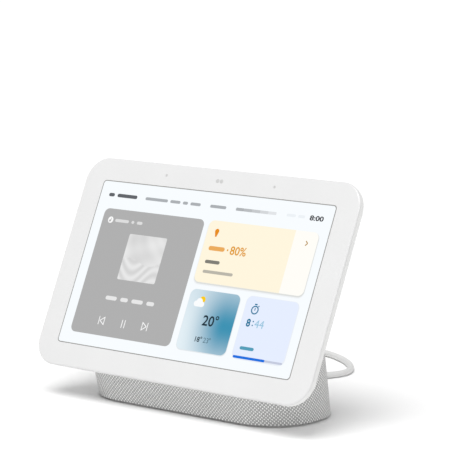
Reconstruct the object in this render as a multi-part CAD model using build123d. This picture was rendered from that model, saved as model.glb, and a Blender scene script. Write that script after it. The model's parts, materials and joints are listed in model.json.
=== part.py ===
from build123d import *
import os
from math import atan, cos, degrees, pi, radians, sin, tan

# A smart display: a flat touch screen that leans back on a fabric-covered speaker base.
# Millimetres, +Z up, the screen faces -Y, the origin is at the middle of the footprint on the floor.
# Inside the head, places are (x, depth behind the face of the glass, height v up the leaning panel).

# ---- Driving sizes ----
# Panel
panel_width = 177.4
panel_height = 113.8
panel_corner = 13.0
tilt = 25.0  # degrees that the face leans back
panel_lift = 17.55  # floor to the lower front edge of the glass
overall_depth = 69.5  # front edge of the glass to the back of the base

# Layers behind the face, from the front
glass_thick = 1.1
glass_edge = 0.9  # rounding of the front edge
print_thick = 0.1
print_inset = 1.0
side_border = 12.9  # edge of the glass to the window, at the sides
end_border = 12.2  # and at the top and bottom
window_corner = 2.0
tape_thick = 0.25
tape_inset = 1.0
tape_width = 1.2
touch_border = (6.7, 4.3)  # how far it reaches past the window, in x and in v
touch_thick = 0.3
lcd_border = (2.7, 2.8)
lcd_thick = 1.2
backlight_margin = 0.5  # the backlight's edge stands out from the LCD's
backlight_thick = 2.4
tray_gap = 0.3  # between the backlight and the rim of the mid frame
tray_wall = 0.8
flange_inset = (4.4, 4.3)  # edge of the glass to the edge of the mid frame, in x and in v
flange_corner = 11.0

# Rear housing: straight sides, then a quarter ellipse into a flat back
housing_depth = 12.6
housing_wall = 1.8
housing_side = 3.2  # depth at which the straight side ends
housing_gap = 0.2  # the glass overhangs the housing by this much
crown_run = 26.0  # how far in the quarter ellipse reaches
crown_corner = 22.0  # corner radius of the flat back
crown_step = 9  # degrees of the ellipse between two of the sections that make it

# Openings in the face
mic_x = 35.1
mic_drop = 6.4  # top edge of the glass to the microphones
mic_port_r = 0.55
eye_x = (-1.5, 1.3)
eye_r = 0.65

# Microphone switch and volume rocker, on the back
switch_drop = 14.8  # top edge of the glass to the switch
knob_length = 6.0
knob_width = 3.0
knob_travel = 2.4
knob_gap = 0.2
knob_proud = 0.7
rocker_inset = 12.7  # edge of the glass to the rocker
rocker_rise = 17.1  # middle of the panel to the rocker
rocker_length = 24.0
rocker_width = 4.6
rocker_proud = 0.7
rocker_gap = 0.2
rocker_end_gap = 0.35
rocker_pivot = 8.0  # depth of the pin
pin_r = 0.6
pin_gap = 0.05
switch_pitch = 17.0

# Boards in the head
sensor_board_width = 100.0
sensor_board_height = 12.4
sensor_board_thick = 0.8
sensor_board_drop = 5.2  # microphones to the middle of the board that holds them
board_spacing = 2.0  # sensor board to main board
board_width = 116.0
board_height = 32.0
board_thick = 1.0
board_lift = 1.1  # mid frame to board
can_height = 1.4
can_wall = 0.2
pad_thick = 0.5
spreader_thick = 0.6
spreader_size = (86.0, 24.0)
flex_v = 58.0
flex_x = 20.0
flex_width = 24.0
mic_size = (3.4, 2.4, 0.85)
eye_size = (4.4, 2.4)
boot_r = 1.25
antenna_size = (9.0, 32.0, 0.3)
antenna_gap = 2.5  # spreader to antenna
antenna_v = 50.0

# Screws in the head: the mid frame's and the main board's
screw_hole_gap = 0.2
frame_screw_r = 0.7
frame_screw_head_r = 1.55
frame_screw_length = 3.0
frame_screw_inset = (2.1, 1.8)  # edge of the mid frame to its side screws, and to its end screws
side_screw_rise = 28.0
end_screw_x = 55.0
boss_r = 2.1
board_screw_r = 0.75
board_screw_head_r = 1.5
screw_head = 0.8
stand_r = 2.2

# Neck between head and base
neck_v = 43.0
neck_width = 70.0
neck_height = 32.0
neck_thick = 1.5
neck_screw_r = 1.5
screw_gap = 0.05
neck_screws_at = (30.0, 12.0)
cable_window = (24.0, 8.0)
cable_window_v = 33.0
head_gap = 0.15  # between the back of the head and the base

# Base
base_setback = 11.3  # its front behind the front edge of the glass, at the floor
base_half_width = 66.6
base_flare = 0.035  # half width gained per millimetre of height
front_lean = 0.221
rear_lean = 0.25
base_corner = 26.5
corner_ease = 0.04
base_top = 82.0
shoulder = 40.0  # height at which the sides start to draw in
back_bend = 60.0  # height at which the back starts to curve forward
base_step = 9  # the sections above the shoulder crowd towards the top, as the sine of this many degrees
fabric_thick = 1.0
fabric_low = 1.2
base_wall = 2.0
foot_inset = 2.5
bottom_thick = 2.0
base_boss_inset = 8.6  # the base's half width to its screw bosses
base_boss_y = (-6.0, 12.0)
base_boss_r = 3.2
base_boss_height = 12.0
base_screw_r = 1.15
base_screw_head_r = 2.4
base_screw_head = 1.1
base_screw_length = 9.5
base_screw_gap = 0.05
ballast_size = (102.0, 30.0, 5.0)
ballast_y = -5.5
fit_gap = 0.1

# Speaker, square to the back wall; distances from the fabric's face, inward
speaker_z = 40.0
grille_r = 21.4
grille_thick = 1.0
grille_gap = 0.05  # between the grille and the fabric
grille_pitch = 2.7
grille_hole_r = 0.85
basket_lip = 1.1  # the basket reaches past the grille by this much
basket_gap = 0.12  # a thin seal between the basket and the wall
basket_flange = 2.0
cone_r = 17.2
cone_depth = 5.0
cone_thick = 0.4
surround_r = 20.5
surround_rise = 1.2
coil_r = 7.6  # inside of the voice coil's former
former_thick = 0.4
winding_thick = 0.5
magnet_gap = 0.3
plate_r = 14.0
plate_thick = 2.5
magnet_r = 15.0
magnet_thick = 4.5
yoke_thick = 2.0

# Power socket and plug
socket_z = 10.0
bezel_r = 6.5
pocket_r = 5.2
pocket_depth = 5.0
pocket_floor = 1.0
barrel_r = 2.75
barrel_bore_r = 1.07
barrel_length = 9.5
socket_bore_gap = 0.1
socket_pin_r = 1.0
socket_size = 9.2
socket_depth = 13.0
power_board_in = 14.35  # back face of the base to the middle of the power board
power_board_size = (36.0, 16.0)
power_board_thick = 1.2
post_at = (15.0, 5.75)  # its posts, from its middle
post_r = 1.8
post_height = 1.0
plug_r = 4.8
plug_seat_gap = 0.3
plug_head = 17.0
relief_length = 16.0
relief_end_r = 2.1

# Cord and adapter
cord_d = 3.5
cord_length = 1500.0
coil_at = (-46.0, 110.0)
coil_mean_r = 19.0
coil_columns = 3
coil_rows = 4
adapter_side = 42.0
adapter_height = 28.0
adapter_corner = 6.0
adapter_wall = 2.0
adapter_at = (-67.5, 58.0)
adapter_inlet_z = 11.5
adapter_pin_r = 2.0
adapter_pin_pitch = 19.0
adapter_pin_length = 19.0
bushing_length = 12.0
bushing_r = 3.4

# ---- Worked-out depths and places ----
lean = radians(tilt)
mid_v = panel_height / 2
window_width = panel_width - 2 * side_border
window_height = panel_height - 2 * end_border
touch_width = window_width + 2 * touch_border[0]
touch_height = window_height + 2 * touch_border[1]
lcd_width = window_width + 2 * lcd_border[0]
lcd_height = window_height + 2 * lcd_border[1]
flange_width = panel_width - 2 * flange_inset[0]
flange_height = panel_height - 2 * flange_inset[1]
mic_v = panel_height - mic_drop
switch_v = panel_height - switch_drop
rocker_x = panel_width / 2 - rocker_inset
rocker_v = mid_v + rocker_rise
sensor_board_v = mic_v - sensor_board_drop
board_v = sensor_board_v - (sensor_board_height + board_height) / 2 - board_spacing
board_low = board_v - board_height / 2
basket_r = grille_r + basket_lip
panel_y = -overall_depth / 2 - glass_edge * (cos(lean) + sin(lean) - 1)
HEAD = Location((0, panel_y, panel_lift), (-tilt, 0, 0))

print_depth = glass_thick
tape_depth = print_depth + print_thick
housing_front = tape_depth + tape_thick
touch_depth = print_depth + print_thick
lcd_depth = touch_depth + touch_thick
backlight_depth = lcd_depth + lcd_thick
flange_depth = backlight_depth + backlight_thick
frame_back = flange_depth + tray_wall
board_depth = frame_back + board_lift
board_back = board_depth + board_thick
tray_width = lcd_width + 2 * (backlight_margin + tray_gap)
tray_height = lcd_height + 2 * (backlight_margin + tray_gap)
inner_back = housing_depth - housing_wall
rear_angle = degrees(atan(rear_lean))


# ---- Shapes in the head's frame ----
def plate(width, height, corner, depth, thick, x=0.0, v=mid_v):
    """A rounded plate, flat to the screen: a rounded rectangle in x and v, pushed back from depth."""
    outline = RectangleRounded(width, height, corner) if corner else Rectangle(width, height)
    return Pos(x, depth, v) * Rot(-90, 0, 0) * extrude(outline, thick)


def rod(radius, depth, length, x=0.0, v=0.0):
    """A cylinder that runs straight back from depth."""
    return Pos(x, depth, v) * Rot(-90, 0, 0) * extrude(Circle(radius), length)


def ring(outer, inner, depth, length, x=0.0, v=0.0):
    return rod(outer, depth, length, x, v) - rod(inner, depth, length, x, v)


def head_form(inset, front):
    """The housing's filled form from the depth front to its flat back, or one inside it by inset."""
    width = panel_width - 2 * (housing_gap + inset)
    height = panel_height - 2 * (housing_gap + inset)
    sides = plate(width, height, panel_corner - inset, front, housing_side - front)
    sections = []
    for angle in range(0, 91, crown_step):
        drop = housing_side + (housing_depth - inset - housing_side) * sin(radians(angle))
        share = 1 - cos(radians(angle))
        pull = (crown_run - inset) * share
        corner = panel_corner - inset + (crown_corner - panel_corner) * share
        outline = RectangleRounded(width - 2 * pull, height - 2 * pull, corner)
        sections.append(Pos(0, drop, mid_v) * Rot(-90, 0, 0) * outline)
    return sides + loft(sections, ruled=True)


def group(*shapes):
    """One node of separate solids."""
    return Compound([solid for shape in shapes for solid in shape.solids()])


def mirrored_x(make, *places):
    """The same piece at each place and at its mirror image about the middle plane."""
    return [make(side * x, v) for x, v in places for side in (-1, 1)]


# ---- The head ----
def cover_glass():
    pane = plate(panel_width, panel_height, panel_corner, 0, glass_thick)
    pane = fillet(pane.edges().group_by(Axis.Y)[0], glass_edge)
    for x in (-mic_x, mic_x):
        pane -= rod(mic_port_r, -1, glass_thick + 2, x, mic_v)
    return pane


def bezel_print():
    sheet = plate(panel_width - 2 * print_inset, panel_height - 2 * print_inset,
                  panel_corner - print_inset, print_depth, print_thick)
    sheet -= plate(window_width, window_height, window_corner, print_depth, print_thick)
    for x in (-mic_x, mic_x):
        sheet -= rod(mic_port_r, print_depth, print_thick, x, mic_v)
    for x in eye_x:
        sheet -= rod(eye_r, print_depth, print_thick, x, mic_v)
    return sheet


def display_tape():
    inner = tape_inset + tape_width
    band = plate(panel_width - 2 * tape_inset, panel_height - 2 * tape_inset,
                 panel_corner - tape_inset, tape_depth, tape_thick)
    return band - plate(panel_width - 2 * inner, panel_height - 2 * inner,
                        panel_corner - inner, tape_depth, tape_thick)


side_screw_x = flange_width / 2 - frame_screw_inset[0]
end_screw_rise = flange_height / 2 - frame_screw_inset[1]
screw_places = ((side_screw_x, mid_v - side_screw_rise), (side_screw_x, mid_v + side_screw_rise),
                (end_screw_x, mid_v - end_screw_rise), (end_screw_x, mid_v + end_screw_rise))
board_corner_in = (4.0, 3.5)  # edges of the main board to its screws
board_screw_x = board_width / 2 - board_corner_in[0]
board_screw_rise = board_height / 2 - board_corner_in[1]
board_screw_places = ((board_screw_x, board_v - board_screw_rise), (board_screw_x, board_v + board_screw_rise))
window_gap = (0.2, 0.15)  # round a microphone or the light sensor, in x and in v


def mid_frame():
    tray = plate(flange_width, flange_height, flange_corner, flange_depth, tray_wall)
    rim = plate(tray_width + 2 * tray_wall, tray_height + 2 * tray_wall, 1.2, lcd_depth,
                flange_depth - lcd_depth)
    rim -= plate(tray_width, tray_height, 0.6, lcd_depth, flange_depth - lcd_depth)
    tray += rim
    bore = board_screw_r + screw_gap
    for stand in mirrored_x(lambda x, v: ring(stand_r, bore, frame_back, board_lift, x, v),
                            *board_screw_places):
        tray += stand
    clear = frame_screw_r + screw_hole_gap
    for hole in mirrored_x(lambda x, v: rod(clear, flange_depth, tray_wall, x, v), *screw_places):
        tray -= hole
    for (width, height), x in ((mic_size[:2], -mic_x), (mic_size[:2], mic_x), (eye_size, 0)):
        tray -= plate(width + 2 * window_gap[0], height + 2 * window_gap[1], 0.3,
                      flange_depth, tray_wall, x, mic_v)
    return tray - plate(flex_width + 2, 2.6, 1.0, flange_depth, tray_wall, flex_x, flex_v)


def slot_cutters():
    """The openings in the housing's back: for the switch knob, the rocker, the cable and the screws."""
    reach = housing_depth
    cutters = [plate(knob_length + knob_travel + 2 * knob_gap, knob_width + 2 * knob_gap,
                     knob_width / 2 + knob_gap - 0.01, board_depth, reach, 0, switch_v),
               plate(rocker_width + 2 * rocker_gap, rocker_length + 2 * rocker_end_gap,
                     rocker_width / 2 + rocker_gap - 0.01, board_depth, reach, rocker_x, rocker_v),
               plate(*cable_window, 1.5, inner_back - 1, 4, 0, cable_window_v)]
    return cutters + neck_holes(inner_back - 1, 4)


def neck_holes(depth, length, radius=neck_screw_r + screw_gap):
    across, up = neck_screws_at
    return mirrored_x(lambda x, v: rod(radius, depth, length, x, v),
                      (across, neck_v - up), (across, neck_v + up))


def rear_housing():
    outer = head_form(0, housing_front)
    shell = outer - head_form(housing_wall, housing_front - 1)
    bore = frame_screw_r + screw_gap
    for boss in mirrored_x(lambda x, v: ring(boss_r, bore, frame_back, housing_depth, x, v), *screw_places):
        shell += boss & outer
    for hole in mirrored_x(lambda x, v: rod(bore, frame_back, frame_screw_length - 0.5, x, v), *screw_places):
        shell -= hole
    ear_width = 1.4
    for side in (-1, 1):
        x = rocker_x + side * (rocker_width / 2 + 0.8 + ear_width / 2)
        shell += plate(ear_width, 3.4, 0, rocker_pivot - 1.4, housing_depth, x, rocker_v) & outer
    shell -= Pos(rocker_x, rocker_pivot, rocker_v) * Rot(0, 90, 0) * Cylinder(pin_r + 0.02, 9.4)
    for cutter in slot_cutters():
        shell -= cutter
    return shell


def main_board():
    board = plate(board_width, board_height, 2.0, board_depth, board_thick, 0, board_v)
    clear = board_screw_r + screw_hole_gap
    for hole in mirrored_x(lambda x, v: rod(clear, board_depth, board_thick, x, v), *board_screw_places):
        board -= hole
    return board


can_places = ((-32.0, 26.0, 22.0), (0.0, 28.0, 22.0), (31.0, 24.0, 20.0))  # x, width, height


def shield_cans():
    cans = []
    for x, width, height in can_places:
        can = plate(width, height, 1.0, board_back, can_height, x, board_v)
        cans.append(can - plate(width - 2 * can_wall, height - 2 * can_wall, 0.8, board_back,
                                can_height - can_wall, x, board_v))
    return group(*cans)


def board_parts():
    """Chips under the cans, and connectors along the board's lower edge."""
    chips = [plate(size, size, 0.3, board_back, 0.9, x, board_v)
             for (x, _, _), size in zip(can_places, (11.0, 14.0, 9.0))]
    plugs = [plate(width, 4.0, 0.3, board_back, 1.4, x, board_low + 2.5)
             for x, width in ((-30.0, 9.0), (flex_x, flex_width + 2))]
    return group(*chips, *plugs)


def thermal_pads():
    return group(*[plate(width - 6, height - 6, 0, board_back + can_height, pad_thick, x, board_v)
                   for x, width, height in can_places])


def heat_spreader():
    return plate(*spreader_size, 3.0, board_back + can_height + pad_thick, spreader_thick, 0, board_v)


def display_flex():
    """A flat cable from the back of the display, through the mid frame and up to its connector."""
    film = 0.2
    top = board_low + 0.5
    back = board_back + 0.6
    out = plate(flex_width, film, 0, flange_depth, back - flange_depth, flex_x, flex_v)
    return out + plate(flex_width, top - flex_v, 0, back - film, film, flex_x, (top + flex_v) / 2)


def sensor_board():
    return plate(sensor_board_width, sensor_board_height, 1.0,
                 frame_back, sensor_board_thick, 0, sensor_board_v)


light_thick = 0.9


def sensors():
    """The light sensor behind its lens and the motion sensor on the back of the board."""
    light = plate(eye_size[0] - 0.8, eye_size[1] - 0.4, 0, frame_back - light_thick, light_thick, 0, mic_v)
    motion = plate(12.0, 6.0, 0.4, frame_back + sensor_board_thick, 1.0, 16.0, sensor_board_v - 0.7)
    return group(light, motion)


def sensor_lens():
    return plate(*eye_size, 0.6, touch_depth, frame_back - light_thick - touch_depth, 0, mic_v)


def microphones():
    width, height, thick = mic_size
    return group(*[plate(width, height, 0.2, frame_back - thick, thick, x, mic_v) for x in (-mic_x, mic_x)])


def microphone_boots():
    return group(*[ring(boot_r, mic_port_r, touch_depth, frame_back - mic_size[2] - touch_depth, x, mic_v)
                   for x in (-mic_x, mic_x)])


switch_size = (10.0, 5.0, 2.0)
switch_front = frame_back + sensor_board_thick
switch_back = switch_front + switch_size[2]


def mic_switch():
    width, height, thick = switch_size
    return plate(width, height, 0.4, switch_front, thick, 0, switch_v)


def mic_switch_knob():
    start = -knob_travel / 2
    stem = plate(knob_length, knob_width, knob_width / 2 - 0.01,
                 switch_back + 0.3, housing_depth, start, switch_v)
    stem &= head_form(-knob_proud, 0)
    keeper = plate(knob_length + 3.4, knob_width + 1.2, 0.6, switch_back + 0.05, 0.5, start, switch_v)
    return stem + keeper


def volume_rocker():
    top = plate(rocker_width, rocker_length, rocker_width / 2 - 0.01, rocker_pivot - 0.1, housing_depth,
                rocker_x, rocker_v)
    top &= head_form(-rocker_proud, 0)
    keeper = plate(rocker_width + 0.6, rocker_length + 1.4, 1.2, rocker_pivot - 0.1, 0.4, rocker_x, rocker_v)
    lug = plate(rocker_width, 3.0, 0, rocker_pivot - 1.15, 2.0, rocker_x, rocker_v)
    bore = Pos(rocker_x, rocker_pivot, rocker_v) * Rot(0, 90, 0) * Cylinder(pin_r + pin_gap, 20)
    return top + keeper + lug - bore


def rocker_pin():
    return Pos(rocker_x, rocker_pivot, rocker_v) * Rot(0, 90, 0) * Cylinder(pin_r, rocker_width + 4.4)


def button_board():
    return plate(5.8, rocker_length + 3.0, 0.6, frame_back, sensor_board_thick, rocker_x, rocker_v)


def button_switches():
    made = []
    for side in (-1, 1):
        v = rocker_v + side * switch_pitch / 2
        front = frame_back + sensor_board_thick
        body = plate(3.6, 3.0, 0.2, front, 0.5, rocker_x, v)
        made.append(body + rod(0.8, front + 0.5, 0.2, rocker_x, v))
    return group(*made)


def antennas():
    width, height, thick = antenna_size
    x = spreader_size[0] / 2 + antenna_gap + width / 2
    return group(*[plate(width, height, 1.0, inner_back - thick, thick, side * x, antenna_v)
                   for side in (-1, 1)])


def head_screws():
    """Eight that hold the mid frame in the housing, and four that hold the main board."""
    reach = board_thick + 0.8
    frame = mirrored_x(lambda x, v: rod(frame_screw_head_r, flange_depth - screw_head, screw_head, x, v)
                       + rod(frame_screw_r, flange_depth, frame_screw_length, x, v), *screw_places)
    board = mirrored_x(lambda x, v: rod(board_screw_head_r, board_back, screw_head, x, v)
                       + rod(board_screw_r, board_back - reach, reach, x, v), *board_screw_places)
    return group(*frame, *board)


def neck_plate():
    piece = plate(neck_width, neck_height, 3.0, inner_back - neck_thick, neck_thick, 0, neck_v)
    piece -= plate(*cable_window, 1.5, inner_back - neck_thick - 1, 5, 0, cable_window_v)
    for hole in neck_holes(inner_back - neck_thick - 1, 5):
        piece -= hole
    return piece


neck_back = housing_depth + head_gap + base_wall


def neck_bracket():
    piece = plate(neck_width, neck_height, 3.0, neck_back, neck_thick, 0, neck_v)
    piece -= plate(*cable_window, 1.5, neck_back - 1, 5, 0, cable_window_v)
    for hole in neck_holes(neck_back - 1, 5):
        piece -= hole
    return piece


# ---- The base ----
def back_plane(height):
    """Where the flat back of the head is, in y, at that height."""
    v = (height - panel_lift + housing_depth * sin(lean)) / cos(lean)
    return panel_y + housing_depth * cos(lean) + v * sin(lean)


def straight_rear(height):
    return overall_depth / 2 - rear_lean * (height - fabric_low)


bend_rate = (straight_rear(base_top) - back_plane(base_top) + 0.5) / (base_top - back_bend) ** 3


def rear(height):
    """The back of the base: straight, then curving forward with the cube of the height past the bend."""
    return straight_rear(height) - bend_rate * max(0.0, height - back_bend) ** 3


def half_width(height):
    """Half the base's width: a slight flare, then a cubic superellipse over the top."""
    past = max(0.0, height - shoulder) / (base_top + 2 - shoulder)
    return (base_half_width + base_flare * min(height, shoulder)) * (1 - past ** 3) ** (1 / 3)


def base_outline(height, inset):
    """The base's rounded plan at a height: its middle in y, and the outline."""
    low = base_setback - overall_depth / 2 - front_lean * height + inset
    high = rear(height) - inset
    corner = base_corner - corner_ease * height - inset
    return (low + high) / 2, RectangleRounded(2 * (half_width(height) - inset), high - low, corner)


def base_form(inset, bottom):
    """The base's filled form above bottom, or one inside it by inset. Its front lies inside the head."""
    rise = base_top - shoulder
    heights = [bottom + inset] + [shoulder + rise * sin(radians(angle)) for angle in range(0, 91, base_step)]
    sections = []
    for height in heights:
        middle, outline = base_outline(height, inset)
        sections.append(Pos(0, middle, height - inset) * outline)
    return loft(sections, ruled=True)


def head_room(gap):
    """The space of the head, gap larger all round and open to the front."""
    return HEAD * head_form(-gap, -70)


REAR = Location((0, straight_rear(speaker_z), speaker_z), (rear_angle, 0, 0))
SOCKET = Location((0, straight_rear(socket_z), socket_z))
skin = fabric_thick
inside = fabric_thick + base_wall
# An inset of 1 lies this deep behind the sloping back wall, measured square to it
inset_depth = cos(radians(rear_angle)) + sin(radians(rear_angle))
skin_in = -skin * inset_depth
wall_in = -inside * inset_depth - basket_gap


def turned(outline):
    """A ring turned about the local Y axis from a closed outline of (radius, y) points."""
    face = make_face(Polyline(*outline, close=True))
    return revolve(face, Axis.Y)


def fabric_sleeve():
    sleeve = base_form(0, fabric_low) - base_form(skin, fabric_low - 0.5) - head_room(2 * head_gap)
    return sleeve - SOCKET * rod(bezel_r + fit_gap, -10, 20)


base_boss_x = base_half_width - base_boss_inset
boss_places = tuple((base_boss_x, y) for y in base_boss_y)


def base_shell():
    cavity = base_form(inside, fabric_low - 0.5) - head_room(head_gap + base_wall)
    shell = base_form(skin, fabric_low) - head_room(head_gap)
    filled = shell
    shell -= cavity
    boss_low = fabric_low + bottom_thick
    for x, y in boss_places:
        for side in (-1, 1):
            web = Pos(side * 5, 0) * Rectangle(10, 2.4)
            boss = Pos(side * x, y, boss_low) * extrude(Circle(base_boss_r) + web, base_boss_height)
            shell += boss & filled
            shell -= Pos(side * x, y, boss_low - 1) * extrude(Circle(base_screw_r + base_screw_gap),
                                                              base_boss_height - 1)
    shell -= REAR * rod(grille_r + fit_gap, skin_in - grille_gap - grille_thick, 10)
    shell -= REAR * rod(surround_r - 0.3, -10, 10)
    shell -= SOCKET * rod(bezel_r + fit_gap, -7, 20)
    shell -= HEAD * plate(*cable_window, 1.5, housing_depth - 1, 5, 0, cable_window_v)
    for hole in neck_holes(housing_depth - 1, 5):
        shell -= HEAD * hole
    return shell


def speaker_grille():
    disc = rod(grille_r, skin_in - grille_gap - grille_thick, grille_thick)
    holes = []
    rows = int(grille_r / grille_pitch)
    for row in range(-rows, rows + 1):
        for column in range(-rows, rows + 1):
            x = (column + (row % 2) / 2) * grille_pitch
            z = row * grille_pitch * sin(pi / 3)
            if (x * x + z * z) ** 0.5 < grille_r - 2.6:
                holes.append(rod(grille_hole_r, -5, 6, x, z))
    return REAR * (disc - holes)


flange_in = wall_in - basket_flange
cone_front = flange_in + 0.7
cone_back = cone_front - cone_depth
plate_front = cone_back - 3.2
plate_back = plate_front - plate_thick
magnet_back = plate_back - magnet_thick
winding_in = plate_front - 3.4
former_r = coil_r + former_thick
pole_r = coil_r - magnet_gap
spider_y = cone_back - 1.5
spider_r = 13.2


def speaker_basket():
    frame = turned([(basket_r, wall_in), (surround_r - 1.0, wall_in), (surround_r - 1.0, flange_in + 0.4),
                    (surround_r - 1.5, flange_in + 0.4), (spider_r + 2.2, spider_y - 0.6),
                    (spider_r - 1.0, spider_y - 0.6), (spider_r - 1.0, plate_front), (plate_r, plate_front),
                    (spider_r + 3.4, spider_y - 0.6), (surround_r + 0.4, flange_in), (basket_r, flange_in)])
    for angle in (45, 135, 225, 315):
        window = Pos(0, (spider_y + flange_in) / 2 - 0.2, 0) * Rot(0, angle, 0)
        frame -= window * Pos(0, 0, surround_r - 2) * Box(15.0, flange_in - spider_y - 2.6, 12.0)
    return REAR * frame


def pole_piece():
    return REAR * (rod(plate_r, magnet_back - yoke_thick, yoke_thick)
                   + rod(pole_r, magnet_back, plate_front - magnet_back))


def speaker_magnet():
    return REAR * ring(magnet_r, 10.0, magnet_back, magnet_thick)


def top_plate():
    return REAR * ring(plate_r, former_r + winding_thick + magnet_gap, plate_back, plate_thick)


def voice_coil():
    former = ring(former_r, coil_r, winding_in, cone_back - cone_thick - winding_in)
    return REAR * (former + ring(former_r + winding_thick, coil_r, winding_in, 3.2))


def speaker_cone():
    return REAR * turned([(cone_r, cone_front), (cone_r, cone_front - cone_thick),
                          (former_r + 0.3, cone_back - cone_thick), (coil_r, cone_back - cone_thick),
                          (coil_r, cone_back), (former_r, cone_back), (cone_r - 0.6, cone_front)])


def dust_cap():
    rise = 2.6
    radius = (former_r ** 2 + rise ** 2) / (2 * rise)
    ball = Pos(0, cone_back + rise - radius, 0) * (Sphere(radius) - Sphere(radius - 0.3))
    return REAR * (ball & rod(former_r, cone_back, rise + 1))


def speaker_surround():
    """A rubber half roll between the cone and the basket."""
    middle = (cone_r + surround_r - 1.0) / 2
    width = (surround_r - 1.0 - cone_r) / 2
    roll = turned([(cone_r, cone_front), (cone_r, cone_front - 0.3), (middle - width * 0.7, cone_front + 0.3),
                   (middle, cone_front + surround_rise - 0.4), (middle + width * 0.7, cone_front + 0.3),
                   (surround_r - 1.0, cone_front - 0.3), (surround_r - 1.0, cone_front),
                   (middle + width * 0.6, cone_front + 0.8), (middle, cone_front + surround_rise),
                   (middle - width * 0.6, cone_front + 0.8)])
    return REAR * roll


def speaker_spider():
    """The corrugated centring disc between the former and the basket."""
    waves = 4
    inner = former_r + 0.02
    step = (spider_r - 1.0 - inner) / (2 * waves)
    upper = [(inner + k * step, spider_y + 0.35 * (k % 2)) for k in range(2 * waves + 1)]
    lower = [(r, y - 0.3) for r, y in reversed(upper)]
    return REAR * turned(upper + lower)


def ballast_plate():
    width, depth, thick = ballast_size
    return Pos(0, ballast_y, fabric_low + bottom_thick) * extrude(RectangleRounded(width, depth, 6.0), thick)


board_z = fabric_low + bottom_thick + post_height
power_board_y = straight_rear(socket_z) - power_board_in


def bottom_plate():
    plate_form = base_form(inside + fit_gap, fabric_low)
    plate_form &= Pos(0, 0, fabric_low) * extrude(Rectangle(200, 200), bottom_thick)
    x, y = post_at
    for across, along in ((-x, -y), (-x, y), (x, -y), (x, y)):
        post = extrude(Circle(post_r), post_height)
        post = Pos(across, power_board_y + along, fabric_low + bottom_thick) * post
        plate_form += post
    for x, y in boss_places:
        for side in (-1, 1):
            plate_form -= Pos(side * x, y, fabric_low) * extrude(Circle(base_screw_r + screw_hole_gap), 3)
            plate_form -= Pos(side * x, y, fabric_low) * extrude(Circle(base_screw_head_r + fit_gap),
                                                                 base_screw_head)
    return plate_form


def base_screws():
    """Four up through the bottom plate, and four through the neck."""
    made = []
    for x, y in boss_places:
        for side in (-1, 1):
            screw = extrude(Circle(base_screw_head_r), base_screw_head) + extrude(Circle(base_screw_r),
                                                                                  base_screw_length)
            made.append(Pos(side * x, y, fabric_low) * screw)
    back = neck_back + neck_thick
    front = inner_back - neck_thick
    heads = neck_holes(back, 1.6, 2.8)
    shanks = neck_holes(front, back - front, neck_screw_r)
    return group(*made, *[HEAD * (head + shank) for head, shank in zip(heads, shanks)])


def rubber_foot():
    middle, outline = base_outline(fabric_low, foot_inset)
    return Pos(0, middle, 0) * extrude(outline, fabric_low)


def power_socket():
    """The socket's body with its bore and its centre pin."""
    front = -pocket_depth - pocket_floor
    body = Pos(0, front - socket_depth, 0) * Rot(-90, 0, 0) * extrude(Rectangle(socket_size, socket_size),
                                                                       socket_depth)
    body -= rod(barrel_r + socket_bore_gap, front - barrel_length - 0.8, 20)
    pin = rod(socket_pin_r, front - barrel_length - 0.8, barrel_length + 0.2)
    return SOCKET * group(body, pin)


def socket_bezel():
    cup = rod(bezel_r, -pocket_depth - pocket_floor, 12) - rod(pocket_r, -pocket_depth, 20)
    cup -= rod(barrel_r + socket_bore_gap, -20, 30)
    return (SOCKET * cup) & base_form(-0.4, 0.2)


def power_board():
    board = extrude(RectangleRounded(*power_board_size, 1.0), power_board_thick)
    board = Pos(0, power_board_y, board_z) * board
    for x, along, width, depth, height in ((-12.0, 1.8, 7.0, 7.0, 4.0), (12.5, 3.3, 5.0, 7.0, 5.0),
                                           (12.0, -5.2, 6.0, 4.0, 2.0)):
        part = extrude(Rectangle(width, depth), height)
        board += Pos(x, power_board_y + along, board_z + power_board_thick) * part
    return board


def bend_radii(points):
    """One radius a corner: 0.45 of the shorter run beside it, over the tangent of half the turn."""
    points = [Vector(*point) for point in points]
    radii = []
    for before, at, after in zip(points, points[1:], points[2:]):
        turn = radians((at - before).get_angle(after - at))
        radii.append(0.45 * min((at - before).length, (after - at).length) / tan(turn / 2))
    return radii


def lead(points, diameter, name):
    """A round lead along straight runs joined by tangent arcs."""
    radii = bend_radii(points)
    path = FilletPolyline(*points, radius=radii)
    section = Plane(path @ 0, z_dir=path % 0) * Circle(diameter / 2)
    made = sweep(section, path)
    print(name, "length", round(path.length, 1), "radii", [round(r, 1) for r in radii],
          "volume share", round(made.volume / (path.length * pi * diameter ** 2 / 4), 4))
    return made, path.length


def from_head(x, depth, v):
    place = HEAD * Pos(x, depth, v)
    return tuple(place.position)


def harness():
    """The leads from the power board, up through the neck and to the main board's lower edge."""
    run = [(13.0, power_board_y - 3.2, board_z + 5.0), (13.0, 9.0, 12.6), (12.0, 4.0, 20.0), (9.0, -0.5, 29.0),
           from_head(4.0, 18.0, 32.0), from_head(1.0, 12.5, 32.2), from_head(-1.0, 9.4, 33.2),
           from_head(-3.0, 7.9, 36.5), from_head(-8.0, 7.7, 42.0), from_head(-17.0, 7.8, 48.5),
           from_head(-26.0, 8.0, board_low - 7.5), from_head(-30.0, 8.3, board_low - 3.4),
           from_head(-30.0, 8.95, board_low + 0.4)]
    return lead(run, 1.8, "harness")[0]


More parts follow.
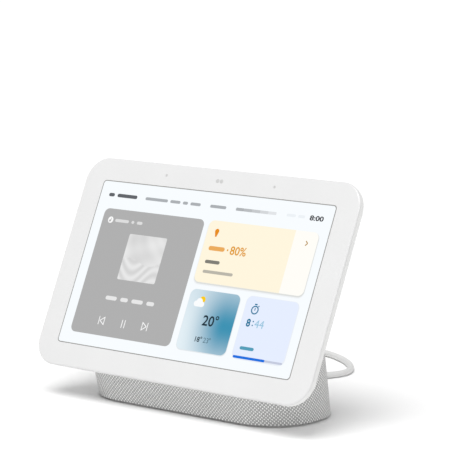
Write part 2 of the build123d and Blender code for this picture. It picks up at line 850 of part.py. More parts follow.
# ---- Cord side ----
coil_outer = coil_mean_r + coil_columns * cord_d / 2
coil_inner = coil_mean_r - coil_columns * cord_d / 2
coil_height = coil_rows * cord_d
plug_front = straight_rear(socket_z) - pocket_depth + plug_seat_gap
cord_start = plug_front + plug_head + relief_length
floor_line = cord_d / 2
cord_route = [
    (0.0, cord_start, socket_z), (0.0, 67.0, socket_z), (1.2, 74.0, 8.3), (3.6, 82.0, 4.2),
    (7.6, 91.0, floor_line),
    (12.3, 102.5, floor_line), (10.5, 111.4, floor_line), (5.6, 119.6, floor_line), (-1.8, 127.2, floor_line),
    (-11.4, 134.2, floor_line), (-25.2, 141.0, floor_line), (-38.5, 143.2, floor_line),
    (-51.5, 140.3, floor_line), (-62.2, 132.2, floor_line), (-67.4, 120.6, floor_line),
    (-68.2, 111.5, floor_line)]
bushing_tip = adapter_at[1] + adapter_side / 2 + bushing_length
tail_route = [(-68.2, 107.6, coil_height - floor_line), (-68.0, 102.4, 12.1),
              (adapter_at[0], 97.2, adapter_inlet_z),
              (adapter_at[0], bushing_tip, adapter_inlet_z)]


def plug_barrel():
    base = -pocket_depth + plug_seat_gap
    return SOCKET * ring(barrel_r, barrel_bore_r, base - barrel_length, barrel_length)


def dc_plug():
    """A straight grip that tapers into the strain relief, with grooves round the relief."""
    base = -pocket_depth + plug_seat_gap
    end = base + plug_head + relief_length
    profile = [(0, base), (plug_r - 0.3, base), (plug_r, base + 0.4), (plug_r, base + plug_head - 3)]
    profile += [(3.4, base + plug_head), (relief_end_r, end), (0, end)]
    body = turned(profile)
    for k in range(4):
        at = base + plug_head + 2.2 + 3.2 * k
        body -= ring(5.0, 2.1, at, 0.9)
    return SOCKET * body


def cord_coil():
    """The outer shape of the put-away turns."""
    body = extrude(Circle(coil_outer) - Circle(coil_inner), coil_height)
    body = fillet(body.edges(), floor_line - 0.05)
    return Pos(*coil_at, 0) * body


def cord_tie():
    """A strap over the bundle of turns, turned about the coil's axis so that it follows the curve."""
    strap = 0.8
    gap = 0.05
    outer = [(coil_inner - strap, 0), (coil_outer + strap, 0), (coil_outer + strap, coil_height + strap),
             (coil_inner - strap, coil_height + strap)]
    inner = [(coil_inner - gap, -1), (coil_outer + gap, -1), (coil_outer + gap, coil_height + gap),
             (coil_inner - gap, coil_height + gap)]
    section = make_face(Polyline(*outer, close=True)) - make_face(Polyline(*inner, close=True))
    return Pos(*coil_at, 0) * Rot(0, 0, 20) * revolve(Rot(90, 0, 0) * section, Axis.Z, 20)


def adapter_bushing():
    start = adapter_at[1] + adapter_side / 2
    body = turned([(0, 0), (bushing_r, 0), (bushing_r, 2.0), (relief_end_r, bushing_length),
                   (0, bushing_length)])
    return Pos(adapter_at[0], start, adapter_inlet_z) * body


def adapter_shell():
    height = adapter_height - adapter_wall
    body = extrude(RectangleRounded(adapter_side, adapter_side, adapter_corner), height)
    body = fillet(body.edges().group_by(Axis.Z)[0], 2.0)
    inner = adapter_side - 2 * adapter_wall
    hollow = extrude(RectangleRounded(inner, inner, adapter_corner - adapter_wall), height)
    body -= Pos(0, 0, adapter_wall) * hollow
    return Pos(*adapter_at, 0) * body


adapter_pin_places = ((-adapter_pin_pitch / 2, 0), (adapter_pin_pitch / 2, 0))


def adapter_cover():
    cover = Pos(0, 0, adapter_height - adapter_wall) * extrude(
        RectangleRounded(adapter_side, adapter_side, adapter_corner), adapter_wall)
    cover = fillet(cover.edges().group_by(Axis.Z)[-1], 1.2)
    for x, y in adapter_pin_places:
        cover -= Pos(x, y, 0) * extrude(Circle(adapter_pin_r + 0.02), 60)
    return Pos(*adapter_at, 0) * cover


def adapter_pins():
    made = []
    for x, y in adapter_pin_places:
        pin = Pos(x, y, 12.0) * extrude(Circle(adapter_pin_r), adapter_height + adapter_pin_length - 12.0)
        made.append(fillet(pin.edges().group_by(Axis.Z)[-1], 1.0))
    return Pos(*adapter_at, 0) * group(*made)


def adapter_board():
    """The circuit inside the adapter: its board, transformer and two capacitors."""
    board = Pos(0, 0, 9.0) * extrude(Rectangle(35.0, 35.0), 1.6)
    board += Pos(0, -8.0, 10.6) * extrude(Rectangle(15.0, 13.0), 9.0)
    for x in (-8.0, 8.0):
        board += Pos(x, 10.0, 10.6) * extrude(Circle(4.0), 9.0)
    for x in (-12.0, 12.0):
        board += Pos(x, 0, adapter_wall) * extrude(Circle(2.0), 9.0 - adapter_wall)
    return Pos(*adapter_at, 0) * board


# ---- Every node ----
def build():
    in_head = {f.__name__: f for f in (
        cover_glass, bezel_print, display_tape, mid_frame, rear_housing, main_board, shield_cans, board_parts,
        thermal_pads, heat_spreader, display_flex, sensor_board, sensors, sensor_lens, microphones,
        microphone_boots, mic_switch, mic_switch_knob, volume_rocker, rocker_pin, button_board, button_switches,
        antennas, head_screws, neck_plate, neck_bracket)}
    nodes = {name: HEAD * make() for name, make in in_head.items()}
    nodes["touch_sensor"] = HEAD * plate(touch_width, touch_height, 2.0, touch_depth, touch_thick)
    nodes["lcd_cell"] = HEAD * plate(lcd_width, lcd_height, 0.5, lcd_depth, lcd_thick)
    nodes["backlight_unit"] = HEAD * plate(lcd_width + 2 * backlight_margin, lcd_height + 2 * backlight_margin,
                                           0.8, backlight_depth, backlight_thick)
    for make in (fabric_sleeve, base_shell, speaker_grille, speaker_basket, pole_piece, speaker_magnet,
                 top_plate, voice_coil, speaker_cone, dust_cap, speaker_surround, speaker_spider,
                 ballast_plate, bottom_plate, base_screws, rubber_foot, power_socket, socket_bezel,
                 power_board, harness, plug_barrel, dc_plug, cord_coil, cord_tie, adapter_bushing,
                 adapter_shell, adapter_cover, adapter_pins, adapter_board):
        nodes[make.__name__] = make()
    nodes["cord"], loose = lead(cord_route, cord_d, "cord")
    nodes["cord_tail"], tail = lead(tail_route, cord_d, "tail")
    turns = (cord_length - loose - tail) / (2 * pi * coil_mean_r)
    print("coil turns", round(turns, 2))
    return nodes


os.makedirs("parts", exist_ok=True)
for node, shape in build().items():
    export_step(shape, f"parts/{node}.step")
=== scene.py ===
import json
from functools import partialmethod
from math import atan, cos, pi, radians, sin
import bmesh
import bpy
import numpy as np
from mathutils import Matrix, Vector


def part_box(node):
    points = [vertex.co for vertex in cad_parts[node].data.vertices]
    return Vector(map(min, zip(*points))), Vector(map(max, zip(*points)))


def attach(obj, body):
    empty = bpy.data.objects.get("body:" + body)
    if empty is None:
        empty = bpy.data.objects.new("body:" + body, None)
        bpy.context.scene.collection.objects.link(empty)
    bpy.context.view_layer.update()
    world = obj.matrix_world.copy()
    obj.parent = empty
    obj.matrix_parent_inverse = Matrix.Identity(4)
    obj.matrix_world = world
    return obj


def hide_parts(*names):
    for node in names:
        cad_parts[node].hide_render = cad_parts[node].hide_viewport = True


# A smart display: a touch screen that leans back on a fabric-covered speaker base, with its power lead.
# Metres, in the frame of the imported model. Lengths written in millimetres are multiplied by MM.

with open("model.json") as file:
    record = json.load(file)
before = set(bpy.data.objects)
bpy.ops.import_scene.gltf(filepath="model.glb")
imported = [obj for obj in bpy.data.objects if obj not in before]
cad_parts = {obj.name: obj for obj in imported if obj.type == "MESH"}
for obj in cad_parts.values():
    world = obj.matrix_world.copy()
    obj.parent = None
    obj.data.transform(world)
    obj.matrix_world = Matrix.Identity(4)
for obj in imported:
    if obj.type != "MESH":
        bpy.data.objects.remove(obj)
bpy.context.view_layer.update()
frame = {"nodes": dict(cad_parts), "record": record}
nodes = frame["nodes"]
MM = 0.001
scene = bpy.context.scene

# ---- Sizes of the head, worked out from the printed sheet behind its glass ----
LEAN = radians(25.0)
PRINT_INSET = 1.0 * MM
PRINT_FRONT = 1.1 * MM
PRINT_BACK = 1.2 * MM
print_low, print_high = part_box("bezel_print")
LIFT = print_low.z - PRINT_INSET * cos(LEAN) + PRINT_BACK * sin(LEAN)
FACE_Y = print_low.y - PRINT_FRONT * cos(LEAN) - PRINT_INSET * sin(LEAN)
WIDTH = print_high.x - print_low.x + 2 * PRINT_INSET
HEIGHT = (print_high.z - LIFT + PRINT_FRONT * sin(LEAN)) / cos(LEAN) + PRINT_INSET
MID_V = HEIGHT / 2
CORNER = 13.0 * MM
GLASS_THICK = PRINT_FRONT
GLASS_EDGE = 0.9 * MM
WINDOW = (WIDTH - 25.8 * MM, HEIGHT - 24.4 * MM)
WINDOW_CORNER = 2.0 * MM
WINDOW_LINE = 0.5 * MM
MIC_X = 35.1 * MM
MIC_V = HEIGHT - 6.4 * MM
MIC_HOLE = 0.7 * MM

# Rear housing: a straight side, then a quarter ellipse into the flat back
BACK = 12.6 * MM
SIDE = 3.2 * MM
RIM = 1.45 * MM
OVERHANG = 0.2 * MM
CROWN_RUN = 26.0 * MM
CROWN_CORNER = 22.0 * MM
WALL = 1.8 * MM

# The buttons in the back, and the openings that they stand in
KNOB_TRAVEL = 2.4 * MM
KNOB = dict(x=-KNOB_TRAVEL / 2, v=HEIGHT - 14.8 * MM, width=6.0 * MM, height=3.0 * MM)
KNOB_FOOT = 8.95 * MM
ROCKER = dict(x=WIDTH / 2 - 12.7 * MM, v=MID_V + 17.1 * MM, width=4.6 * MM, height=24.0 * MM)
ROCKER_FOOT = 7.95 * MM
SLOT_GAP = 0.2 * MM
SLOT_FRONT = 7.4 * MM

# Base
base_low, base_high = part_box("fabric_sleeve")
FABRIC_LOW = base_low.z
REAR_Y = base_high.y
REAR_LEAN = 0.25
FRONT_LEAN = 0.221
BASE_TOP = 82.0 * MM
SHOULDER = 40.0 * MM
BACK_BEND = 60.0 * MM
BASE_CORNER = 26.5 * MM
CORNER_EASE = 0.04
FLARE = 0.035
SETBACK = 11.3 * MM
HALF_WIDTH = base_high.x - FLARE * SHOULDER
CLOTH = 1.0 * MM
HEAD_GAP = 0.3 * MM
SOCKET_HEIGHT = 10.0 * MM
SOCKET_HOLE = 6.6 * MM
BASE_TURN = 22  # steps round each corner of the plan
BASE_RUN = 60  # steps along each side of it


# ---- Shader maths ----
class Sum:
    """A socket whose arithmetic adds Math nodes to its material."""

    def __init__(self, shop, socket):
        self.shop, self.socket = shop, socket

    def math(self, operation, other=None, swap=False, clamp=False):
        pair = [self.socket] if other is None else [self.socket, getattr(other, "socket", other)]
        pair = pair[::-1] if swap else pair
        return self.shop.node("ShaderNodeMath", {"operation": operation, "use_clamp": clamp},
                              dict(enumerate(pair)))

    __add__ = __radd__ = partialmethod(math, "ADD")
    __sub__ = partialmethod(math, "SUBTRACT")
    __rsub__ = partialmethod(math, "SUBTRACT", swap=True)
    __mul__ = __rmul__ = partialmethod(math, "MULTIPLY")
    __pow__ = partialmethod(math, "POWER")
    sin = partialmethod(math, "SINE")
    abs = partialmethod(math, "ABSOLUTE")
    clamp = partialmethod(math, "ADD", 0.0, clamp=True)


class Shop:
    """One material and its nodes. node() adds a node of any kind and gives one of its outputs as a Sum."""

    def __init__(self, name, **constants):
        self.material = bpy.data.materials.new(name)
        self.material.use_nodes = True
        self.tree = self.material.node_tree
        self.shader = self.tree.nodes["Principled BSDF"]
        for socket, value in constants.items():
            self.shader.inputs[socket.replace("_", " ")].default_value = value

    def node(self, kind, settings=None, inputs=None, output=0):
        made = self.tree.nodes.new(kind)
        for key, value in (settings or {}).items():
            if key == "stops":
                set_stops(made.color_ramp, value)
            else:
                setattr(made, key, value)
        for key, value in (inputs or {}).items():
            value = getattr(value, "socket", value)
            if isinstance(value, bpy.types.NodeSocket):
                self.tree.links.new(value, made.inputs[key])
            else:
                made.inputs[key].default_value = value
        return Sum(self, made.outputs[output])

    def place(self, scale=(1, 1, 1), turn=(0, 0, 0), kind="Object"):
        """The coordinates of the piece, scaled and turned."""
        where = self.node("ShaderNodeTexCoord", output=kind)
        return self.node("ShaderNodeMapping", None, {"Vector": where, "Scale": scale, "Rotation": turn})

    def noise(self, scale, detail=3.0, rough=0.5, place=None):
        return self.node("ShaderNodeTexNoise", None, {"Vector": place or self.place(), "Scale": scale,
                                                      "Detail": detail, "Roughness": rough})

    def ramp(self, factor, *stops):
        return self.node("ShaderNodeValToRGB", {"stops": stops}, {"Fac": factor})

    def tones(self, factor, colour, low, high, start=0.3, end=0.7):
        """The colour times low where the factor is at start, and times high where it is at end."""
        return self.ramp(factor, (start, shade(colour, low)), (end, shade(colour, high)))

    def mix(self, factor, first, second):
        return self.node("ShaderNodeMix", {"data_type": "RGBA"}, {0: factor, 6: first, 7: second}, output=2)

    def feed(self, **links):
        for socket, value in links.items():
            self.tree.links.new(value.socket, self.shader.inputs[socket.replace("_", " ")])

    def finish(self, colour, rough, height=None, distance=0.0):
        """Feeds colour and roughness to the shader, with a bump of that distance, and gives the material."""
        self.feed(Base_Color=colour, Roughness=rough)
        if height is not None:
            bump = {"Height": height, "Distance": distance, "Strength": 1.0}
            self.feed(Normal=self.node("ShaderNodeBump", None, bump))
        return self.material


def set_stops(ramp, stops):
    """A colour ramp's stops, as (place, colour) pairs."""
    while len(ramp.elements) < len(stops):
        ramp.elements.new(0.5)
    for element, (place, colour) in zip(ramp.elements, stops):
        element.position = place
        element.color = colour


def linear(red, green, blue):
    """A display colour from 0 to 255 as scene-linear numbers, with the usual sRGB curve."""
    share = np.array([red, green, blue]) / 255.0
    bright = np.where(share <= 0.04045, share / 12.92, ((share + 0.055) / 1.055) ** 2.4)
    return (*bright.tolist(), 1.0)


def neutral(tone):
    return linear(tone, tone, tone)


def shade(colour, factor):
    return (*[min(1.0, channel * factor) for channel in colour[:3]], 1.0)


# ---- Materials ----
def moulded_plastic(name, colour, rough=0.45, grain=0.02, coat=0.0):
    """A fine spark-eroded grain, with broad, faint changes of tone and gloss."""
    shop = Shop(name, Coat_Weight=coat, Coat_Roughness=0.1)
    broad = shop.noise(18.0, 2.0)
    fine = shop.noise(2600.0, 2.0, 0.6)
    return shop.finish(shop.tones(broad, colour, 0.975, 1.015),
                       rough + (broad - 0.5) * 0.08 + (fine - 0.5) * 0.06, fine, grain * MM)


def sheet_metal(name, colour, rough=0.32, brush=(1, 1, 1), wear=0.25):
    """Metal with fine drawn lines along one way, and cloudy patches of duller surface."""
    shop = Shop(name, Metallic=1.0)
    lines = shop.noise(900.0, 4.0, 0.7, shop.place(brush))
    clouds = shop.noise(60.0, 3.0)
    return shop.finish(shop.tones(clouds, colour, 1.0 - wear, 1.04, 0.25, 0.75),
                       (rough + (lines - 0.5) * 0.25 + (clouds - 0.5) * 0.12).clamp(), lines, 0.01 * MM)


def soft_rubber(name, colour, rough=0.75):
    """Matt rubber with a dusty bloom and a fine pebbled surface."""
    shop = Shop(name, Sheen_Weight=0.1)
    bloom = shop.noise(120.0, 4.0, 0.65)
    pebble = shop.node("ShaderNodeTexVoronoi", None, {"Vector": shop.place(), "Scale": 1800.0})
    return shop.finish(shop.tones(bloom, colour, 0.85, 1.2, 0.3, 0.75),
                       rough + (bloom - 0.5) * 0.15, pebble, 0.03 * MM)


def solder_mask(name):
    """A green lacquered board: copper tracks show as paler bands under the lacquer."""
    shop = Shop(name, Coat_Weight=0.4, Coat_Roughness=0.15)
    tracks = shop.node("ShaderNodeTexBrick", None, {"Vector": shop.place((1, 1, 1), (radians(65), 0, 0)),
                                                    "Scale": 160.0, "Mortar Size": 0.12}, output=1)
    cloud = shop.noise(90.0)
    green = shop.ramp(cloud, (0.3, (0.012, 0.075, 0.04, 1)), (0.7, (0.02, 0.1, 0.055, 1)))
    return shop.finish(shop.mix(tracks, green, (0.05, 0.2, 0.1, 1)),
                       0.4 + (cloud - 0.5) * 0.2, tracks, 0.03 * MM)


def glossy_glass(name, colour):
    """Printed glass: white print seen through a polished, slightly wavy surface."""
    shop = Shop(name, IOR=1.5, Coat_Weight=0.25, Coat_Roughness=0.04)
    wave = shop.noise(35.0, 1.0)
    return shop.finish(shop.tones(wave, colour, 0.99, 1.005, 0.35, 0.65),
                       0.22 + (wave - 0.5) * 0.05, wave, 0.002 * MM)


def clear_moulding(name, colour):
    shop = Shop(name, IOR=1.49, Transmission_Weight=0.6)
    swirl = shop.noise(300.0, 2.0)
    return shop.finish(shop.tones(swirl, colour, 0.96, 1.0), 0.12 + (swirl - 0.5) * 0.1)


def ferrite(name, colour):
    """Sintered ferrite: dark, faintly speckled and slightly pitted."""
    shop = Shop(name)
    grains = shop.node("ShaderNodeTexVoronoi", None, {"Vector": shop.place(), "Scale": 900.0})
    return shop.finish(shop.tones(grains, colour, 1.5, 0.8, 0.1, 0.6),
                       0.5 + grains * 0.25, grains, 0.05 * MM)


def winding(name, colour):
    """Enamelled wire laid side by side: fine rings along the coil's own axis."""
    shop = Shop(name, Metallic=0.7, Coat_Weight=0.6)
    rings = shop.node("ShaderNodeTexWave", {"wave_type": "BANDS", "bands_direction": "Y"},
                      {"Vector": shop.place((1, 1, 1), (-atan(REAR_LEAN), 0, 0)), "Scale": 900.0,
                       "Distortion": 0.4})
    return shop.finish(shop.tones(rings, colour, 0.45, 1.0, 0.1, 0.8),
                       0.25 + rings * 0.2, rings, 0.05 * MM)


def impregnated_cloth(name, colour):
    """Open woven cloth stiffened with resin."""
    shop = Shop(name)
    across, along = (shop.node("ShaderNodeTexWave", {"bands_direction": way},
                               {"Vector": shop.place(), "Scale": 300.0}) for way in "XZ")
    weave = across * along
    return shop.finish(shop.tones(weave, colour, 0.55, 1.0, 0.05, 0.7),
                       0.7 + weave * 0.15, weave, 0.1 * MM)


def woven_cloth(name):
    """Light grey melange cloth in plain weave, on the sleeve's own map, which is laid out in metres.

    Along each yarn the height is the size of a sine. Warp and weft change places from crossing to crossing.
    """
    pitch = 0.98 * MM
    shop = Shop(name, Sheen_Weight=0.12, Sheen_Roughness=0.5)
    where = shop.place(kind="UV")
    parts = [shop.node("ShaderNodeSeparateXYZ", None, {0: where}, output=axis) for axis in (0, 1)]
    wander = shop.noise(140.0, 2.0, place=where) - 0.5
    across, up = ((part + wander * 0.12 * MM) * (pi / pitch) for part in parts)
    sine_u, sine_v = across.sin(), up.sin()
    warp_on_top = ((sine_u * sine_v) * 4.0 + 0.95).clamp()
    warp = sine_u.abs() ** 0.6 * (0.62 + 0.38 * sine_v.abs())
    weft = sine_v.abs() ** 0.6 * (0.62 + 0.38 * sine_u.abs())
    height = warp_on_top * warp + (1 - warp_on_top) * weft * 0.3
    strand, thread = (
        shop.noise(900.0, 3.0, 0.7, shop.node("ShaderNodeMapping", None, {"Vector": where, "Scale": stretch}))
        for stretch in ((1, 0.25, 1), (0.25, 1, 1)))
    fleck = warp_on_top * strand + (1 - warp_on_top) * thread
    pale, middle, dark = linear(254, 254, 253), linear(248, 248, 247), linear(230, 230, 229)
    yarn = shop.ramp(fleck, (0.3, dark), (0.46, middle), (0.62, pale))
    # Painted shade: where the cloth lies low between the yarns, its colour is drawn most of the way towards
    # grey 118, which stands in for the shade in the gaps.
    gap = shop.mix(0.85, yarn, neutral(118))
    return shop.finish(shop.mix((height * 1.5 - 0.15).clamp(), gap, yarn),
                       0.82 + fleck * 0.12, height + fleck * 0.15, 0.28 * MM)


def screen_light(name):
    """The lit picture: each point's own colour, given out through a smooth glass face."""
    shop = Shop(name, Base_Color=(0.004, 0.004, 0.005, 1), Emission_Strength=1.0, IOR=1.45,
                Specular_IOR_Level=0.2)
    tint = shop.node("ShaderNodeAttribute", {"attribute_name": "tint"})
    wave = shop.noise(35.0, 1.0)
    shop.feed(Emission_Color=tint, Roughness=0.14 + (wave - 0.5) * 0.04)
    return shop.material


def pvc_lead(name, colour):
    """A soft jacket with a faint drawn grain along it, on the lead's own map."""
    shop = Shop(name, Coat_Weight=0.08, Coat_Roughness=0.3)
    broad = shop.noise(40.0, 2.0)
    fine = shop.noise(1500.0, 2.0)
    return shop.finish(shop.tones(broad, colour, 0.97, 1.01), 0.42 + (broad - 0.5) * 0.1, fine, 0.015 * MM)


# What each slot is made of, and the numbers for it
LOOKS = {
    "face_glass": (glossy_glass, neutral(222)),
    "white_print": (moulded_plastic, neutral(235), 0.3),
    "black_tape": (soft_rubber, neutral(24)),
    "sensor_glass": (clear_moulding, linear(225, 230, 233)),
    "screen": (moulded_plastic, linear(30, 32, 36), 0.15, 0.02, 0.8),
    "backlight": (moulded_plastic, linear(232, 232, 230), 0.5),
    "frame_metal": (sheet_metal, (0.72, 0.73, 0.74), 0.32, (0.1, 1, 1)),
    "white_housing": (moulded_plastic, linear(230, 230, 229), 0.42),
    "light_grey_button": (moulded_plastic, linear(205, 205, 204), 0.38),
    "circuit_board": (solder_mask,),
    "black_plastic": (moulded_plastic, linear(34, 34, 36), 0.4),
    "can_metal": (sheet_metal, (0.72, 0.72, 0.71), 0.28),
    "pad": (soft_rubber, linear(150, 160, 178)),
    "spreader_metal": (sheet_metal, (0.78, 0.78, 0.79), 0.32, (0.1, 1, 1)),
    "amber_film": (clear_moulding, linear(205, 130, 40)),
    "lens": (clear_moulding, linear(225, 228, 230)),
    "steel": (sheet_metal, (0.58, 0.58, 0.58)),
    "dark_rubber": (soft_rubber, neutral(40)),
    "antenna_metal": (sheet_metal, (0.72, 0.42, 0.2), 0.25),
    "grey_shell": (moulded_plastic, linear(178, 178, 176), 0.5),
    "knit_fabric": (woven_cloth,),
    "basket_metal": (moulded_plastic, linear(36, 36, 37), 0.45, 0.02, 0.3),
    "magnet": (ferrite, linear(58, 58, 60)),
    "yoke_steel": (sheet_metal, (0.62, 0.61, 0.56), 0.3),
    "coil_wire": (winding, (0.7, 0.33, 0.13, 1)),
    "cone": (ferrite, linear(44, 44, 46)),
    "spider_cloth": (impregnated_cloth, linear(178, 148, 92)),
    "ballast": (sheet_metal, (0.3, 0.3, 0.31), 0.45),
    "foot_rubber": (soft_rubber, linear(226, 226, 225)),
    "white_lead": (pvc_lead, linear(216, 216, 215)),
    "white_moulding": (moulded_plastic, linear(236, 236, 235), 0.36),
    "plug_metal": (sheet_metal, (0.78, 0.78, 0.77), 0.14, (1, 1, 1), 0.08),
    "screen_light": (screen_light,),
    "sensor_window": (moulded_plastic, linear(196, 196, 195), 0.3),
}
materials = {slot: look(slot, *numbers) for slot, (look, *numbers) in LOOKS.items()}


def paint_nodes():
    """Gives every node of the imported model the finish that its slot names."""
    for part in frame["record"]["subparts"]:
        finish = nodes[part["node"]].data.materials
        finish.clear()
        finish.append(materials[part["material_slot"]])


# ---- Making meshes ----
def add_object(name, data):
    """Puts a mesh, curve, lamp or camera into the scene as an object."""
    made = bpy.data.objects.new(name, data)
    scene.collection.objects.link(made)
    return made


def grid_faces(rows, columns, ring=True, loop=False):
    """Quads of a grid of points: ring joins its last column to the first, and loop its last row."""
    i = np.arange(rows if loop else rows - 1)[:, None]
    j = np.arange(columns if ring else columns - 1)[None, :]
    here, after = i * columns, (i + 1) % rows * columns
    right = (j + 1) % columns
    return np.stack([here + j, here + right, after + right, after + j], axis=-1).reshape(-1, 4)


def mesh_from(name, points, faces):
    """A mesh from an array of points and a list of faces, all facing outwards."""
    mesh = bpy.data.meshes.new(name)
    mesh.from_pydata(points.reshape(-1, 3).tolist(), [], [list(face) for face in faces])
    face_out(mesh)
    return mesh


def face_out(mesh, sharp=35.0):
    work = bmesh.new()
    work.from_mesh(mesh)
    bmesh.ops.recalc_face_normals(work, faces=work.faces)
    work.to_mesh(mesh)
    work.free()
    mesh.shade_smooth()
    mesh.set_sharp_from_angle(angle=radians(sharp))


def piece(name, mesh, slot, body, *replaced, finish=None):
    """Puts a mesh into the scene as one of the object's pieces."""
    made = add_object(name, mesh)
    mesh.materials.clear()
    mesh.materials.append(materials[finish or slot])
    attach(made, body)
    if replaced:
        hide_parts(*replaced)
    return made


def cut(mesh, *cutters):
    """The mesh with the space of the cutters taken out of it."""
    held = add_object("held", mesh)
    tools = [add_object("tool", shape) for shape in cutters]
    for tool in tools:
        step = held.modifiers.new("cut", "BOOLEAN")
        step.operation, step.solver, step.object = "DIFFERENCE", "EXACT", tool
    bpy.context.view_layer.update()
    made = bpy.data.meshes.new_from_object(held.evaluated_get(bpy.context.evaluated_depsgraph_get()))
    for used in (held, *tools):
        bpy.data.objects.remove(used)
    made.set_sharp_from_angle(angle=radians(35.0))
    return made


def rounded(width, height, corner, turn=12, run=24):
    """Rounded rectangles about the origin, one row of (x, y) points for each width, height and corner radius.

    Each corner is a quarter circle of turn steps, and each side between two corners is run equal steps.
    """
    width, height, corner = (np.atleast_1d(np.asarray(size, float))[:, None, None]
                             for size in (width, height, corner))
    angle = (np.arange(4)[None, :, None] + np.linspace(0, 1, turn + 1)[None, None, :]) * pi / 2
    right = np.array([1, -1, -1, 1])[None, :, None]
    above = np.array([1, 1, -1, -1])[None, :, None]
    arc = np.stack([right * (width / 2 - corner) + corner * np.cos(angle),
                    above * (height / 2 - corner) + corner * np.sin(angle)], -1)
    following = np.roll(arc[:, :, :1], -1, axis=1)
    share = np.linspace(0, 1, run + 1)[1:-1][None, None, :, None]
    side = arc[:, :, -1:] * (1 - share) + following * share
    return np.concatenate([arc, side], axis=2).reshape(len(arc), -1, 2)


def head(x, depth, v):
    """Places in the row frame of points x across, depth behind the face and v up the leaning panel."""
    x, depth, v = np.broadcast_arrays(x, depth, v)
    y, z = depth * cos(LEAN) + v * sin(LEAN), v * cos(LEAN) - depth * sin(LEAN)
    return np.stack([x, FACE_Y + y, LIFT + z], -1)


def head_rows(outlines, depths, x=0.0, v=None):
    """Rows of outlines about (x, v) on the head, each at its own depth."""
    middle = MID_V if v is None else v
    return head(outlines[..., 0] + x, np.reshape(depths, (-1, 1)), outlines[..., 1] + middle)


def closed_rows(rows):
    """The faces of a stack of outlines with a flat face over each end."""
    count, columns = rows.shape[:2]
    faces = grid_faces(count, columns).tolist()
    return faces + [list(range(columns)), list(range((count - 1) * columns, count * columns))]


def circle(radius, steps):
    """Points (x, y) round the origin: one circle, or a row of points for each radius in a column."""
    angle = np.linspace(0, 2 * pi, steps, endpoint=False)
    return np.stack([radius * np.cos(angle), radius * np.sin(angle)], -1)


def lathe(profile, steps):
    """A profile of (distance along y, radius) points turned about the y axis through the origin."""
    profile = np.asarray(profile, float)
    ring = circle(profile[:, 1:], steps)
    return np.insert(ring, 1, profile[:, :1], axis=2)


def crown(share, inset=0.0):
    """The housing's half-sizes, corner radius and depth, where its quarter ellipse is share of the way in."""
    return (WIDTH / 2 - OVERHANG - inset - (CROWN_RUN - inset) * share,
            HEIGHT / 2 - OVERHANG - inset - (CROWN_RUN - inset) * share,
            CORNER - inset + (CROWN_CORNER - CORNER) * share,
            SIDE + (BACK - inset - SIDE) * np.sqrt(np.maximum(0, 1 - (1 - share) ** 2)))


def outside(x, v, share):
    """How far a point is outside the rounded rectangle that the housing is at that share of its crown."""
    half_x, half_v, corner, _ = crown(share)
    past_x, past_v = np.abs(x) - half_x + corner, np.abs(v - MID_V) - half_v + corner
    reach = np.hypot(np.maximum(past_x, 0), np.maximum(past_v, 0))
    return reach + np.minimum(np.maximum(past_x, past_v), 0) - corner


def back_depth(x, v):
    """Depth of the housing's outer surface at (x, v). Halving steps find the share of the crown there."""
    x, v = np.broadcast_arrays(np.asarray(x, float), np.asarray(v, float))
    low, high = np.zeros(x.shape), np.ones(x.shape)
    for _ in range(40):
        middle = (low + high) / 2
        beyond = outside(x, v, middle) > 0
        low, high = np.where(beyond, low, middle), np.where(beyond, middle, high)
    return crown((low + high) / 2)[3]


# ---- Camera ----
def make_camera():
    """The camera stands in front and to the right, a little above the screen, with a long lens."""
    target = Vector((0.0, -4.75 * MM, 60.0 * MM))
    side, rise, away = radians(39.223), radians(10.068), 1203.5 * MM
    back = Vector((sin(side) * cos(rise), -cos(side) * cos(rise), sin(rise)))
    camera = bpy.data.cameras.new("camera")
    camera.lens, camera.sensor_width = 183.9, 36.0
    camera.shift_x, camera.shift_y = 0.0688, 0.1273
    camera.clip_start, camera.clip_end = 0.05, 50.0
    stand = add_object("camera", camera)
    roll = Matrix.Rotation(radians(0.158), 4, "Z")
    turn = (-back).to_track_quat("-Z", "Y").to_matrix().to_4x4()
    stand.matrix_world = Matrix.Translation(target + back * away) @ turn @ roll
    scene.camera = stand


# ---- Power lead ----
CORD = 3.5 * MM
ROUTE = [(0.0, 60.85, 10.0), (0.0, 67.0, 10.0), (1.2, 74.0, 8.3), (3.6, 82.0, 4.2), (7.6, 91.0, 1.75),
         (12.3, 102.5, 1.75), (10.5, 111.4, 1.75), (5.6, 119.6, 1.75), (-1.8, 127.2, 1.75),
         (-11.4, 134.2, 1.75), (-25.2, 141.0, 1.75), (-38.5, 143.2, 1.75), (-51.5, 140.3, 1.75),
         (-62.2, 132.2, 1.75), (-67.4, 120.6, 1.75), (-68.2, 111.5, 1.75)]
TAIL = [(-68.2, 107.6, 12.25), (-68.0, 102.4, 12.1), (-67.5, 97.2, 11.5), (-67.5, 91.0, 11.5)]
COIL_MIDDLE = np.array([-46.0, 110.0]) * MM
COIL_RADII = np.array([22.5, 19.0, 15.5]) * MM
COIL_ROWS = 4
COIL_TURNS = 11.03
COIL_START = radians(176.0)
POINTS_A_TURN = 16


def step_between(share, start, end):
    """Nought before start, one after end, and a smooth cubic step between them."""
    share = np.clip((share - start) / (end - start), 0, 1)
    return share * share * (3 - 2 * share)


